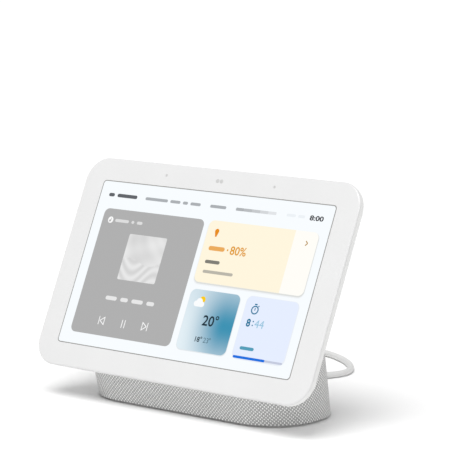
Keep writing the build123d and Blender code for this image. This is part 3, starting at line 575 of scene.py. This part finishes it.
def coil_points():
    """The put-away turns: round rings in three columns and four rows, wound inwards and outwards by turns.

    In each turn the lead first keeps its ring, then steps sideways to the next column, or up to the next row.
    """
    rings = [radius for row in range(COIL_ROWS) for radius in COIL_RADII[::1 if row % 2 == 0 else -1]]
    levels = [CORD * (row + 0.5) for row in range(COIL_ROWS) for _ in COIL_RADII]
    turn = np.arange(0.1, COIL_TURNS - 0.03, 1 / POINTS_A_TURN)
    whole = turn.astype(int)
    share = turn - whole
    rings, levels = np.array(rings), np.array(levels)
    radius = rings[whole] + (rings[whole + 1] - rings[whole]) * step_between(share, 0.5, 0.72)
    height = levels[whole] + (levels[whole + 1] - levels[whole]) * step_between(share, 0.74, 0.98)
    # A curve of this order runs a little inside its control points
    radius = radius / (0.75 + 0.25 * cos(2 * pi / POINTS_A_TURN))
    return round_coil(radius, COIL_START + 2 * pi * turn, height)


def round_coil(radius, angle, height):
    """Points at that radius and angle round the coil's axis."""
    x, y = COIL_MIDDLE
    return np.stack([x + radius * np.cos(angle), y + radius * np.sin(angle), height], -1)


def make_cord():
    points = np.concatenate([np.array(ROUTE) * MM, coil_points(), np.array(TAIL) * MM])
    line = bpy.data.curves.new("power_cord", "CURVE")
    line.dimensions = "3D"
    spline = line.splines.new("NURBS")
    spline.points.add(len(points) - 1)
    spline.points.foreach_set("co", np.c_[points, np.ones(len(points))].ravel())
    spline.order_u = 3
    spline.use_endpoint_u = True
    spline.resolution_u = 4
    line.bevel_depth = CORD / 2
    line.bevel_resolution = 4
    line.use_fill_caps = True
    line.materials.append(materials["white_lead"])
    cord = add_object("power_cord", line)
    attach(cord, "power_lead")
    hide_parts("cord", "cord_coil", "cord_tail")
    return cord


def make_tie():
    """A strap round the bundle: a rounded loop in a plane through the coil's axis, carried 20 degrees on.

    Its outer face goes across the strap, and its inner face comes back. Its two edges are a little thinner.
    """
    thick, thin_edge, gap = 0.6 * MM, 0.36 * MM, 0.05 * MM
    start = sweep = radians(20.0)
    inner, outer = COIL_RADII[-1] - CORD / 2, COIL_RADII[0] + CORD / 2
    top = COIL_ROWS * CORD
    turns = np.linspace(0, 1, 9)
    path = np.concatenate([turns, turns[::-1]])[:, None]
    grown = np.full(len(path), gap)
    grown[:len(turns)] = thick
    grown[[0, len(turns) - 1]] = thin_edge
    loops = rounded(outer - inner + 2 * grown, top + grown - 0.02 * MM, 2.2 * MM + grown, 8, 8)
    radius = (inner + outer) / 2 + loops[..., 0]
    height = loops[..., 1] + (top + grown[:, None]) / 2
    points = round_coil(radius, start + sweep * path, height)
    mesh = mesh_from("cord_strap", points, grid_faces(*points.shape[:2], loop=True))
    return piece("cord_strap", mesh, "white_moulding", "power_lead", "cord_tie")


def grooves(first, pitch, count, edge_at, depth, ramp, width, least=0.0):
    """A turned profile's points over a row of grooves. edge_at gives the radius between them."""
    points = []
    for at in first + pitch * np.arange(count):
        foot = max(least, edge_at(at) - depth)
        end = at + width + ramp
        points += [(at, edge_at(at)), (at + ramp, foot), (at + width, foot), (end, edge_at(end))]
    return points


def turned_grip(name, profile, steps, x, z, replaced):
    points = lathe(np.array(profile) * MM, steps) + np.array([x, 0, z])
    return piece(name, mesh_from(name, points, closed_rows(points)), "white_lead", "power_lead", replaced)


def make_plug():
    """The plug's grip: a turned profile with finger rings, which tapers into a grooved strain relief."""
    low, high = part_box("dc_plug")
    base, end = low.y / MM, high.y / MM
    grip = base + 17.0
    body, neck, tip = 4.8, 3.4, 2.1
    slope = (neck - tip) / (end - grip)
    profile = [(base, 0.4), (base, 4.3), (base + 0.15, 4.6), (base + 0.5, body)]
    profile += grooves(base + 6.6, 1.5, 5, lambda at: body, 0.18, 0.2, 0.55)
    profile += [(grip - 2.6, body), (grip - 1.6, 4.55), (grip - 0.6, 3.9), (grip, neck)]
    profile += grooves(grip + 1.2, 2.35, 6, lambda at: neck - slope * (at - grip), 0.65, 0.15, 0.75, 1.95)
    profile += [(end - 0.25, 2.12), (end, 1.95), (end, 1.4)]
    return turned_grip("dc_plug_grip", profile, 48, 0.0, SOCKET_HEIGHT, "dc_plug")


def make_bushing():
    """The adapter's strain relief: a collar, then a grooved taper down to the lead."""
    low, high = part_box("adapter_bushing")
    base, end = low.y / MM, high.y / MM
    neck, tip, collar = 3.15, 2.1, base + 2.0
    slope = (neck - tip) / (end - collar)
    profile = [(base - 0.3, 1.0), (base - 0.3, 3.4), (collar - 0.3, 3.4), (collar, neck)]
    profile += grooves(base + 3.0, 2.1, 4, lambda at: neck - slope * (at - collar), 0.5, 0.15, 0.8)
    profile += [(end - 0.2, 2.12), (end, 1.95), (end, 1.4)]
    middle = (low + high) / 2
    return turned_grip("adapter_relief", profile, 40, middle.x, middle.z, "adapter_bushing")


# ---- Head ----
def head_prism(outline, front, back, x, v):
    """A prism through the head, square to the face, for cutting an opening."""
    rows = head_rows(np.stack([outline, outline]), [front, back], x, v)
    return mesh_from("opening", rows, closed_rows(rows))


def make_face():
    """The glass round the picture: a ring whose front edge is a quarter circle, with two microphone holes."""
    arc = np.linspace(0, pi / 2, 7)
    inset = np.concatenate([GLASS_EDGE * (1 - np.sin(arc)), [0.0]])
    depth = np.concatenate([GLASS_EDGE * (1 - np.cos(arc)), [GLASS_THICK]])
    width = np.concatenate([[WINDOW[0]], WIDTH - 2 * inset, [WINDOW[0]]])
    height = np.concatenate([[WINDOW[1]], HEIGHT - 2 * inset, [WINDOW[1]]])
    corner = np.concatenate([[WINDOW_CORNER], CORNER - inset, [WINDOW_CORNER]])
    depth = np.concatenate([[0.0], depth, [GLASS_THICK]])
    rows = head_rows(rounded(width, height, corner, 16, 32), depth)
    mesh = mesh_from("face_glass", rows, grid_faces(*rows.shape[:2], loop=True))
    holes = [head_prism(circle(MIC_HOLE, 24), -MM, 2 * MM, side * MIC_X, MIC_V) for side in (-1, 1)]
    return piece("face_glass", cut(mesh, *holes), "face_glass", "display", "cover_glass")


def make_housing():
    """The rear shell: outlines down its side and over a quarter ellipse, outside and then inside."""
    share = 1 - np.cos(np.linspace(0, pi / 2, 19))
    outer_rim = (np.array([0.25, 0.08, 0.0]) * MM, RIM + np.array([0.0, 0.07, 0.25]) * MM)
    inner_rim = (np.zeros(1), np.array([RIM]))
    rows = []
    for inset, (rim_inset, rim_depth) in ((0.0, outer_rim), (WALL, inner_rim)):
        *sizes, depth = crown(share, inset)
        half_x, half_v, corner = (np.concatenate([size[0] - rim_inset, size]) for size in sizes)
        outlines = rounded(2 * half_x, 2 * half_v, corner, 16, 32)
        rows.append(head_rows(outlines, np.concatenate([rim_depth, depth])))
    rows = np.concatenate([rows[0][::-1], rows[1]])
    mesh = mesh_from("rear_shell", rows, closed_rows(rows))
    return piece("rear_shell", cut(mesh, *housing_slots()), "white_housing", "display", "rear_housing")


def housing_slots():
    """The openings that the switch's knob and the volume rocker stand in."""
    gap = 2 * SLOT_GAP
    return [head_prism(rounded(width, height, min(width, height) / 2 - 0.01 * MM, 12, 4)[0],
                       SLOT_FRONT, 20 * MM, x, v)
            for x, v, width, height in (
                (0.0, KNOB["v"], KNOB["width"] + KNOB_TRAVEL + gap, KNOB["height"] + gap),
                (ROCKER["x"], ROCKER["v"], ROCKER["width"] + gap, ROCKER["height"] + 3.5 * SLOT_GAP))]


def make_button(name, node, body, x, v, width, height, foot, proud=0.7 * MM, edge=0.45 * MM, ribs=False):
    """A long button: outlines shrink towards its middle line, over a quarter-circle edge, and its top keeps
    the same height above the housing's surface all over, with low ribs across it where it is slid."""
    arc = np.linspace(0, pi / 2, 6)
    half = min(width, height) / 2
    inset = np.concatenate([[0.0], edge * (1 - np.cos(arc)), [0.55 * width / 4, 0.8 * half]])
    drop = np.concatenate([[0.0], edge * (1 - np.sin(arc)), [0.0, 0.0]])
    outline = rounded(width - 2 * inset, height - 2 * inset, half - inset - 0.01 * MM, 10, 24)
    across, up = outline[..., 0] + x, outline[..., 1] + v
    surface = back_depth(across, up) + proud - drop[:, None]
    if ribs:
        wave = np.sin(pi * outline[..., 0] / (0.55 * MM)) ** 2
        surface[-2:] -= 0.12 * MM * wave[-2:]
    surface[0] = foot
    rows = head(across, surface, up)
    return piece(name, mesh_from(name, rows, closed_rows(rows)), "light_grey_button", body, node)


# ---- Picture on the screen ----
class Picture:
    """Flat shapes on the face of the screen: thin closed plates. A higher level lies further out."""

    STEP = 0.03 * MM  # from one level to the next
    REFLECTED = 0.012  # what the glass adds by reflection

    def __init__(self):
        self.points, self.faces, self.tints = [], [], []
        self.count = 0

    def add(self, points, faces, tints):
        self.points.append(points)
        self.faces += [[index + self.count for index in face] for face in faces]
        self.tints.append(np.maximum(np.broadcast_to(tints, (len(points), 4)) - self.REFLECTED, 0.0))
        self.count += len(points)

    def plate(self, outline, level, tint):
        """An outline of (u, v) points in millimetres, from the panel's middle and from its bottom edge."""
        outline = np.asarray(outline, float) * MM
        n = len(outline)
        depth = np.repeat([-self.STEP * level, 0.3 * MM], n)
        both = np.concatenate([outline, outline])
        faces = [list(range(n)), list(range(2 * n - 1, n - 1, -1))]
        faces += [[k, n + k, n + (k + 1) % n, (k + 1) % n] for k in range(n)]
        self.add(head(both[:, 0], depth, both[:, 1]), faces, np.array(tint))

    def bar(self, left, right, low, high, corner, level, tint):
        width, height = right - left, high - low
        outline = rounded(width, height, min(corner, width / 2.01, height / 2.01), 6, 1)[0]
        self.plate(outline + [(left + right) / 2, (low + high) / 2], level, tint)

    def disc(self, u, v, radius, level, tint, steps=28):
        self.plate(circle(radius, steps) + [u, v], level, tint)

    def stroke(self, ends, width, level, tint):
        """A straight stroke with square ends."""
        (u0, v0), (u1, v1) = ends
        along = np.array([u1 - u0, v1 - v0])
        side = np.array([-along[1], along[0]]) / np.hypot(*along) * width / 2
        start, end = np.array([u0, v0]), np.array([u1, v1])
        self.plate([start - side, end - side, end + side, start + side], level, tint)

    def hoop(self, u, v, radius, width, level, tint, steps=32):
        """A round line: two rings of points, front and back."""
        rings = circle((radius + width / 2 * np.array([-1, 1, 1, -1]))[:, None], steps)
        depth = np.array([-self.STEP * level] * 2 + [0.3 * MM] * 2)[:, None]
        rows = head((u + rings[..., 0]) * MM, depth, (v + rings[..., 1]) * MM)
        self.add(rows.reshape(-1, 3), grid_faces(4, steps, loop=True).tolist(), np.array(tint))

    def field(self, left, right, low, high, corner, level, colour, rows=40):
        """A rounded plate whose colour changes over it: rings of outlines shrink towards its middle."""
        share = np.linspace(1, 0.02, rows)
        width, height = right - left, high - low
        size = np.minimum(width, height) * share
        outline = rounded(width - min(width, height) + size, height - min(width, height) + size,
                          np.minimum(corner, size / 2.05), 6, 24)
        u, v = outline[..., 0] + (left + right) / 2, outline[..., 1] + (low + high) / 2
        front = head(u * MM, -self.STEP * level, v * MM)
        back = head(u[:1] * MM, 0.3 * MM, v[:1] * MM)
        grid = np.concatenate([back, front])
        tint = colour((u - left) / width, (v - low) / height)
        tint = np.concatenate([tint[:1], tint]).reshape(-1, 4)
        self.add(grid.reshape(-1, 3), closed_rows(grid), tint)

    def figures(self, text, left, right, low, height, level, tint, weight=0.0):
        """Digits from the built-in font, made to run from left to right and to that height."""
        curve = bpy.data.curves.new("figures", "FONT")
        curve.body, curve.size, curve.offset = text, 1.0, weight
        curve.resolution_u = 3
        curve.extrude = 0.1
        holder = add_object("figures", curve)
        mesh = bpy.data.meshes.new_from_object(holder.evaluated_get(bpy.context.evaluated_depsgraph_get()))
        bpy.data.objects.remove(holder)
        points = np.array([vertex.co for vertex in mesh.vertices])
        u = (points[:, 0] - points[:, 0].min()) / np.ptp(points[:, 0]) * (right - left) + left
        v = (points[:, 1] - points[:, 1].min()) / np.ptp(points[:, 1]) * height + low
        depth = np.where(points[:, 2] > 0, -self.STEP * level, 0.3 * MM)
        faces = [list(face.vertices) for face in mesh.polygons]
        self.add(head(u * MM, depth, v * MM), faces, np.array(tint))

    def words(self, left, right, middle, height, lengths, level, tint):
        """Lines of writing stand as rounded bars, as long as the words would be, a letter apart."""
        letter = (right - left) / (sum(lengths) + len(lengths) - 1)
        half = height / 2
        for length in lengths:
            self.bar(left, left + length * letter, middle - half, middle + half, half, level, tint)
            left += (length + 1) * letter

    def mesh(self):
        made = bpy.data.meshes.new("screen_picture")
        made.from_pydata(np.concatenate(self.points).tolist(), [], self.faces)
        layer = made.attributes.new("tint", "FLOAT_COLOR", "POINT")
        tints = np.concatenate(self.tints)
        tints[:, 3] = 1.0
        layer.data.foreach_set("color", tints.ravel())
        face_out(made, 30.0)
        return made


def blend_tint(first, second, share):
    share = np.clip(share, 0, 1)[..., None]
    return np.array(first) * (1 - share) + np.array(second) * share


def weather_tint(u, v):
    """Deep teal at the right, a little below the middle, which clears to pale sky towards the left."""
    rise = step_between(u, 0.0, 0.82)
    share = 0.95 * rise * np.exp(-((v - 0.43) / 0.62) ** 2) + 0.16 * v * v
    return blend_tint(linear(228, 240, 246), linear(52, 144, 178), share)


def cover_tint(u, v):
    """An invented cover: pale hills under drifting cloud, made from a few sine waves."""
    cloud = 0.5 + 0.2 * np.sin(7 * u + 3 * v) + 0.15 * np.sin(13 * v - 4 * u) + 0.1 * np.sin(23 * u * v + 2)
    hill = v < 0.42 + 0.07 * np.sin(6 * u + 0.5)
    line = 0.5 + 0.5 * np.sin(26 * (v + 0.25 * np.sin(5 * u)))
    share = np.where(hill, 0.35 + 0.4 * line, 0.3 + 0.5 * cloud)
    return blend_tint(neutral(194), neutral(244), share)


def media_card(picture):
    ink, faint, card = neutral(252), neutral(222), neutral(176)
    picture.bar(-69.2, -2.0, 18.8, 86.5, 3.2, 2, card)
    picture.disc(-63.6, 80.4, 1.75, 3, ink)
    picture.disc(-63.9, 79.9, 0.6, 4, card)
    picture.stroke([(-63.35, 80.0), (-63.35, 81.5)], 0.35, 4, card)
    picture.words(-60.4, -41.8, 80.4, 1.6, (5, 1, 2), 3, faint)
    picture.field(-48.0, -22.7, 49.5, 74.2, 0.9, 3, cover_tint)
    picture.words(-51.9, -19.2, 39.1, 2.1, (3, 2, 3, 2), 3, neutral(232))
    for way, u, v in ((-1, -49.9, 26.7), (1, -21.4, 27.1)):
        tip, tail, stop = u + way * 1.3, u - way * 1.5, u + way * 2.0
        for ends in (((tail, v - 2.0), (tip, v)), ((tip, v), (tail, v + 2.0)),
                     ((tail, v - 2.2), (tail, v + 2.2)), ((stop, v - 2.2), (stop, v + 2.2))):
            picture.stroke(ends, 0.42, 3, ink)
    for u in (-36.3, -34.5):
        picture.stroke(((u, 24.5), (u, 28.8)), 0.45, 3, ink)


def lamp_card(picture):
    orange, amber, pale = linear(232, 142, 22), linear(226, 156, 34), linear(255, 253, 247)
    picture.bar(0.9, 70.6, 52.7, 86.6, 3.6, 1.0, linear(240, 243, 246))
    picture.bar(1.3, 70.4, 53.3, 86.7, 3.4, 1.4, linear(222, 224, 222))
    picture.bar(1.3, 70.0, 54.1, 86.8, 3.2, 2, pale)
    cream = linear(255, 246, 222)
    picture.bar(1.3, 55.5, 54.1, 86.8, 3.2, 2.3, cream)
    picture.bar(40.0, 55.5, 54.1, 86.8, 0.02, 2.6, cream)
    picture.disc(7.5, 81.3, 1.3, 3, orange)
    picture.plate([(6.3, 80.8), (7.1, 78.3), (7.9, 78.3), (8.7, 80.8)], 3.3, orange)
    picture.words(5.1, 15.4, 72.2, 2.3, (4,), 3, linear(236, 172, 92))
    picture.disc(17.3, 72.2, 0.5, 3, amber)
    picture.figures("80%", 19.0, 29.1, 70.0, 4.6, 3, amber, 0.014)
    picture.words(5.2, 14.6, 65.1, 1.8, (4,), 3, linear(128, 126, 118))
    picture.words(5.5, 24.7, 59.9, 1.6, (9,), 3, linear(186, 182, 170))
    picture.stroke(((63.2, 81.9), (64.4, 80.7)), 0.55, 3, linear(182, 138, 48))
    picture.stroke(((64.4, 80.7), (63.2, 79.5)), 0.55, 3, linear(182, 138, 48))


def weather_card(picture):
    dark, slate, ink = linear(36, 54, 64), linear(92, 122, 136), linear(250, 252, 253)
    picture.bar(1.8, 34.0, 18.3, 50.4, 3.4, 1.4, linear(226, 232, 236))
    picture.field(2.0, 33.6, 18.8, 50.4, 3.2, 2, weather_tint)
    picture.disc(10.6, 45.3, 1.8, 3, linear(250, 205, 30))
    for u, v, radius in ((7.2, 43.0, 1.5), (9.0, 44.0, 2.0), (10.9, 42.9, 1.4)):
        picture.disc(u, v, radius, 4, ink)
    picture.bar(7.2, 10.9, 41.5, 43.0, 0.1, 4, ink)
    picture.figures("20", 14.2, 21.4, 32.3, 5.5, 3, dark, 0.016)
    picture.hoop(22.9, 37.1, 0.8, 0.55, 3, dark)
    picture.figures("18", 12.7, 15.6, 23.7, 2.7, 3, dark, 0.02)
    picture.hoop(16.4, 26.1, 0.4, 0.3, 3, dark)
    picture.figures("23", 17.9, 21.2, 23.7, 2.7, 3, slate)
    picture.hoop(21.9, 26.1, 0.4, 0.25, 3, slate)


def timer_card(picture):
    teal, blue, lavender = linear(20, 118, 156), linear(20, 112, 224), linear(196, 202, 222)
    picture.bar(37.5, 70.1, 18.3, 51.0, 3.4, 1, linear(234, 239, 247))
    picture.bar(37.8, 69.6, 19.4, 50.8, 3.2, 2, linear(230, 238, 255))
    picture.hoop(44.1, 44.0, 1.95, 0.65, 3, teal)
    picture.stroke(((43.3, 46.9), (44.9, 46.9)), 0.65, 3, teal)
    picture.stroke(((45.7, 45.8), (46.2, 46.3)), 0.6, 3, teal)
    picture.stroke(((44.1, 43.7), (44.1, 45.1)), 0.5, 3, teal)
    picture.figures("8", 41.1, 43.6, 35.2, 4.1, 3, teal, 0.03)
    for v in (36.2, 38.2):
        picture.disc(45.1, v, 0.38, 3, teal)
    picture.figures("44", 46.3, 51.9, 35.2, 4.1, 3, linear(150, 196, 222))
    picture.words(41.3, 50.0, 24.3, 1.7, (5,), 3, linear(84, 158, 186))
    picture.bar(38.9, 69.0, 19.0, 20.1, 0.5, 3, lavender)
    picture.bar(38.6, 58.2, 18.9, 20.2, 0.5, 4, blue)


def top_row(picture):
    picture.words(-69.6, -50.2, 93.9, 1.9, (2, 7), 2, linear(98, 101, 106))
    picture.words(-44.5, -7.7, 93.9, 1.6, (9, 4, 2, 4), 2, linear(172, 176, 180))
    picture.words(-1.4, 9.0, 93.9, 1.6, (5,), 2, linear(172, 176, 180))
    for k, tone in enumerate((176, 186, 198, 212, 226)):
        picture.bar(15.3 + 5.1 * k, 15.3 + 5.1 * (k + 1), 93.1, 94.7, 0.05 if 0 < k < 4 else 0.45, 2,
                    linear(tone, tone + 3, tone + 6))
    picture.words(47.2, 58.6, 93.9, 1.5, (4, 3), 2, linear(237, 242, 246))
    picture.figures("8:00", 61.5, 69.9, 92.5, 2.7, 2, linear(58, 60, 64), 0.03)


def make_screen():
    """The lit window: a plate in the glass ring, a thin grey line round it, and the cards of the picture."""
    picture = Picture()
    sky = linear(248, 252, 255)
    right, line = WINDOW[0] / MM / 2, WINDOW_LINE / MM
    low, high = (MID_V - WINDOW[1] / 2) / MM, (MID_V + WINDOW[1] / 2) / MM
    corner = WINDOW_CORNER / MM
    picture.bar(-right, right, low, high, corner, 0.3, linear(156, 156, 154))
    picture.bar(line - right, right - line, low + line, high - line, corner - 0.4, 0.8, sky)
    for draw in (top_row, media_card, lamp_card, weather_card, timer_card):
        draw(picture)
    return piece("screen_picture", picture.mesh(), "screen", "display", finish="screen_light")


def make_face_dots():
    """Low discs on the face: the light sensor's two windows, and the mesh in each microphone hole."""
    points, faces, count = [], [], 0
    windows = [(x, 1.1, -0.03) for x in (-1.25, 1.25)]
    meshes = [(side * MIC_X / MM, 0.72, 0.12) for side in (-1, 1)]
    for x, size, front in windows + meshes:
        rings = circle(np.array([size, size, size - 0.06, 0.1])[:, None] * MM, 24)
        rows = head_rows(rings, np.array([front + 0.15, front + 0.02, front, front]) * MM, x * MM, MIC_V)
        faces += [[index + count for index in face] for face in closed_rows(rows)]
        points.append(rows.reshape(-1, 3))
        count += rows.shape[0] * rows.shape[1]
    mesh = mesh_from("face_dots", np.concatenate(points), faces)
    return piece("face_dots", mesh, "lens", "display", finish="sensor_window")


# ---- Base ----
def straight_rear(height):
    return REAR_Y - REAR_LEAN * (height - FABRIC_LOW)


def back_plane(height):
    """Where the flat back of the head is, in y, at that height."""
    v = (height - LIFT + BACK * sin(LEAN)) / cos(LEAN)
    return FACE_Y + BACK * cos(LEAN) + v * sin(LEAN)


BEND = (straight_rear(BASE_TOP) - back_plane(BASE_TOP) + 0.5 * MM) / (BASE_TOP - BACK_BEND) ** 3


def base_point(height, inset):
    """The base's rounded plan at each height, as rows of points that start at the middle of the back."""
    above = height + inset
    past = np.clip((above - SHOULDER) / (BASE_TOP + 2 * MM - SHOULDER), 0, 0.99999)
    half = (HALF_WIDTH + FLARE * np.minimum(above, SHOULDER)) * (1 - past ** 3) ** (1 / 3) - inset
    rear = straight_rear(above) - BEND * np.maximum(0, above - BACK_BEND) ** 3 - inset
    front = SETBACK - REAR_Y - FRONT_LEAN * above + inset
    corner = np.minimum(BASE_CORNER - CORNER_EASE * above - inset, half - 0.1 * MM)
    outline = rounded(2 * half.ravel(), (rear - front).ravel(), corner.ravel(), BASE_TURN, BASE_RUN)
    outline[..., 1] += ((rear + front) / 2).ravel()[:, None]
    return np.roll(outline, -(BASE_TURN + BASE_RUN // 2), axis=1)


def base_column(height, inset):
    """One point for each column of the plan, each at its own height."""
    rows = base_point(height, inset)
    column = np.arange(rows.shape[1])
    return rows[column, column]


def in_head(x, y, z):
    """True where a point is within the head, or nearer to its back than the gap round it."""
    depth = (y - FACE_Y) * cos(LEAN) - (z - LIFT) * sin(LEAN)
    v = (y - FACE_Y) * sin(LEAN) + (z - LIFT) * cos(LEAN)
    return (outside(x, v, np.zeros_like(x)) < HEAD_GAP) & (depth < back_depth(x, v) + HEAD_GAP)


def sleeve_tops(inset):
    """The height at which each upright line of the base runs into the head: a scan, then halving steps."""
    columns = 4 * (BASE_TURN + BASE_RUN)
    scan = np.linspace(FABRIC_LOW, BASE_TOP, 160)
    rows = base_point(scan - inset, inset)
    within = in_head(rows[..., 0], rows[..., 1], np.repeat((scan - inset)[:, None], columns, axis=1))
    first = np.where(within.any(axis=0), within.argmax(axis=0), len(scan) - 1)
    low, high = scan[np.maximum(first - 1, 0)] - inset, scan[first] - inset
    for _ in range(22):
        middle = (low + high) / 2
        at = base_column(middle, inset)
        hit = in_head(at[:, 0], at[:, 1], middle)
        low, high = np.where(hit, low, middle), np.where(hit, middle, high)
    return low


def make_sleeve():
    """The fabric sleeve: upright lines of the base's form, each cut off where it meets the head.

    The outer face goes up, the top edge turns in, and the inner face comes down one cloth's thickness inside.
    """
    sides = []
    for inset in (0.0, CLOTH):
        heights = FABRIC_LOW + (sleeve_tops(inset) - FABRIC_LOW) * np.linspace(0, 1, 40)[:, None]
        sides.append(np.stack([np.c_[base_column(level, inset), level] for level in heights]))
    outer, inner = sides
    rim = outer[-1] * 0.45 + inner[-1] * 0.55
    outer[-1] = outer[-1] * 0.92 + inner[-1] * 0.08
    rows = np.concatenate([outer, rim[None], inner[::-1]])
    faces = grid_faces(*rows.shape[:2], loop=True)
    mesh = bpy.data.meshes.new("fabric_cover")
    mesh.from_pydata(rows.reshape(-1, 3).tolist(), [], faces.tolist())
    lay_map(mesh, rows)
    face_out(mesh, 50.0)
    hole = lathe([(10 * MM, SOCKET_HOLE), (50 * MM, SOCKET_HOLE)], 48) + np.array([0, 0, SOCKET_HEIGHT])
    mesh = cut(mesh, mesh_from("hole", hole, closed_rows(hole)))
    return piece("fabric_cover", mesh, "knit_fabric", "display", "fabric_sleeve")


def lay_map(mesh, rows):
    """A map in metres: across is the distance round from the front middle, and up is the distance climbed."""
    wrapped = np.concatenate([rows, rows[:, :1]], axis=1)
    across = np.linalg.norm(np.diff(wrapped, axis=1), axis=2)
    across = np.concatenate([np.zeros((len(rows), 1)), np.cumsum(across, axis=1)], axis=1)
    across -= across[:, -1:] / 2
    up = np.linalg.norm(np.diff(wrapped, axis=0), axis=2)
    up = np.concatenate([np.zeros((1, wrapped.shape[1])), np.cumsum(up, axis=0)])
    i = np.arange(len(rows))[:, None]
    j = np.arange(rows.shape[1])[None, :]
    follow = (i + 1) % len(rows)
    both = np.stack([across, up], -1)
    corners = np.stack([both[i, j], both[i, j + 1], both[follow, j + 1], both[follow, j]], 2)
    mesh.uv_layers.new(name="UVMap").data.foreach_set("uv", corners.ravel())


# ---- Stage ----
def make_floor():
    side = 14.0
    corners = np.array([(-side, -side, 0), (side, -side, 0), (side, side, 0), (-side, side, 0)])
    mesh = bpy.data.meshes.new("floor")
    mesh.from_pydata(corners.tolist(), [], [(0, 1, 2, 3)])
    shop = Shop("floor", Roughness=0.9, Specular_IOR_Level=0.1)
    shop.feed(Base_Color=shop.tones(shop.noise(3.0), (1.0, 1.0, 1.0), 0.965, 0.97))
    mesh.materials.append(shop.material)
    add_object("floor", mesh)


def soft_lamp(name, place, target, size, power):
    light = bpy.data.lights.new(name, "AREA")
    light.shape, light.size, light.energy = "DISK", size, power
    place, target = Vector(place), Vector(target)
    turn = (target - place).to_track_quat("-Z", "Y").to_matrix().to_4x4()
    add_object(name, light).matrix_world = Matrix.Translation(place) @ turn


def make_light():
    world = bpy.data.worlds.new("studio")
    scene.world = world
    world.use_nodes = True
    sky = world.node_tree.nodes["Background"]
    sky.inputs["Color"].default_value = (1.0, 1.0, 1.0, 1.0)
    sky.inputs["Strength"].default_value = 0.56
    sun = bpy.data.lights.new("front", "SUN")
    sun.energy, sun.angle = 1.95, radians(38)
    add_object("front", sun).rotation_euler = (radians(25), radians(3), 0)
    soft_lamp("side", (1.05, -0.1, 0.5), (0, 0, 0.08), 0.5, 1.1)
    view = scene.view_settings
    view.view_transform, view.look = "Standard", "None"
    view.exposure, view.gamma = 0.0, 1.0


# ---- The scene ----
paint_nodes()
make_camera()
power_cord = make_cord()
plug_grip = make_plug()
strap = make_tie()
relief = make_bushing()
make_face()
make_screen()
make_face_dots()
make_housing()
make_button("switch_knob", "mic_switch_knob", "switch_knob", foot=KNOB_FOOT, ribs=True, **KNOB)
make_button("volume_button", "volume_rocker", "rocker", foot=ROCKER_FOOT, **ROCKER)
sleeve = make_sleeve()
make_floor()
make_light()
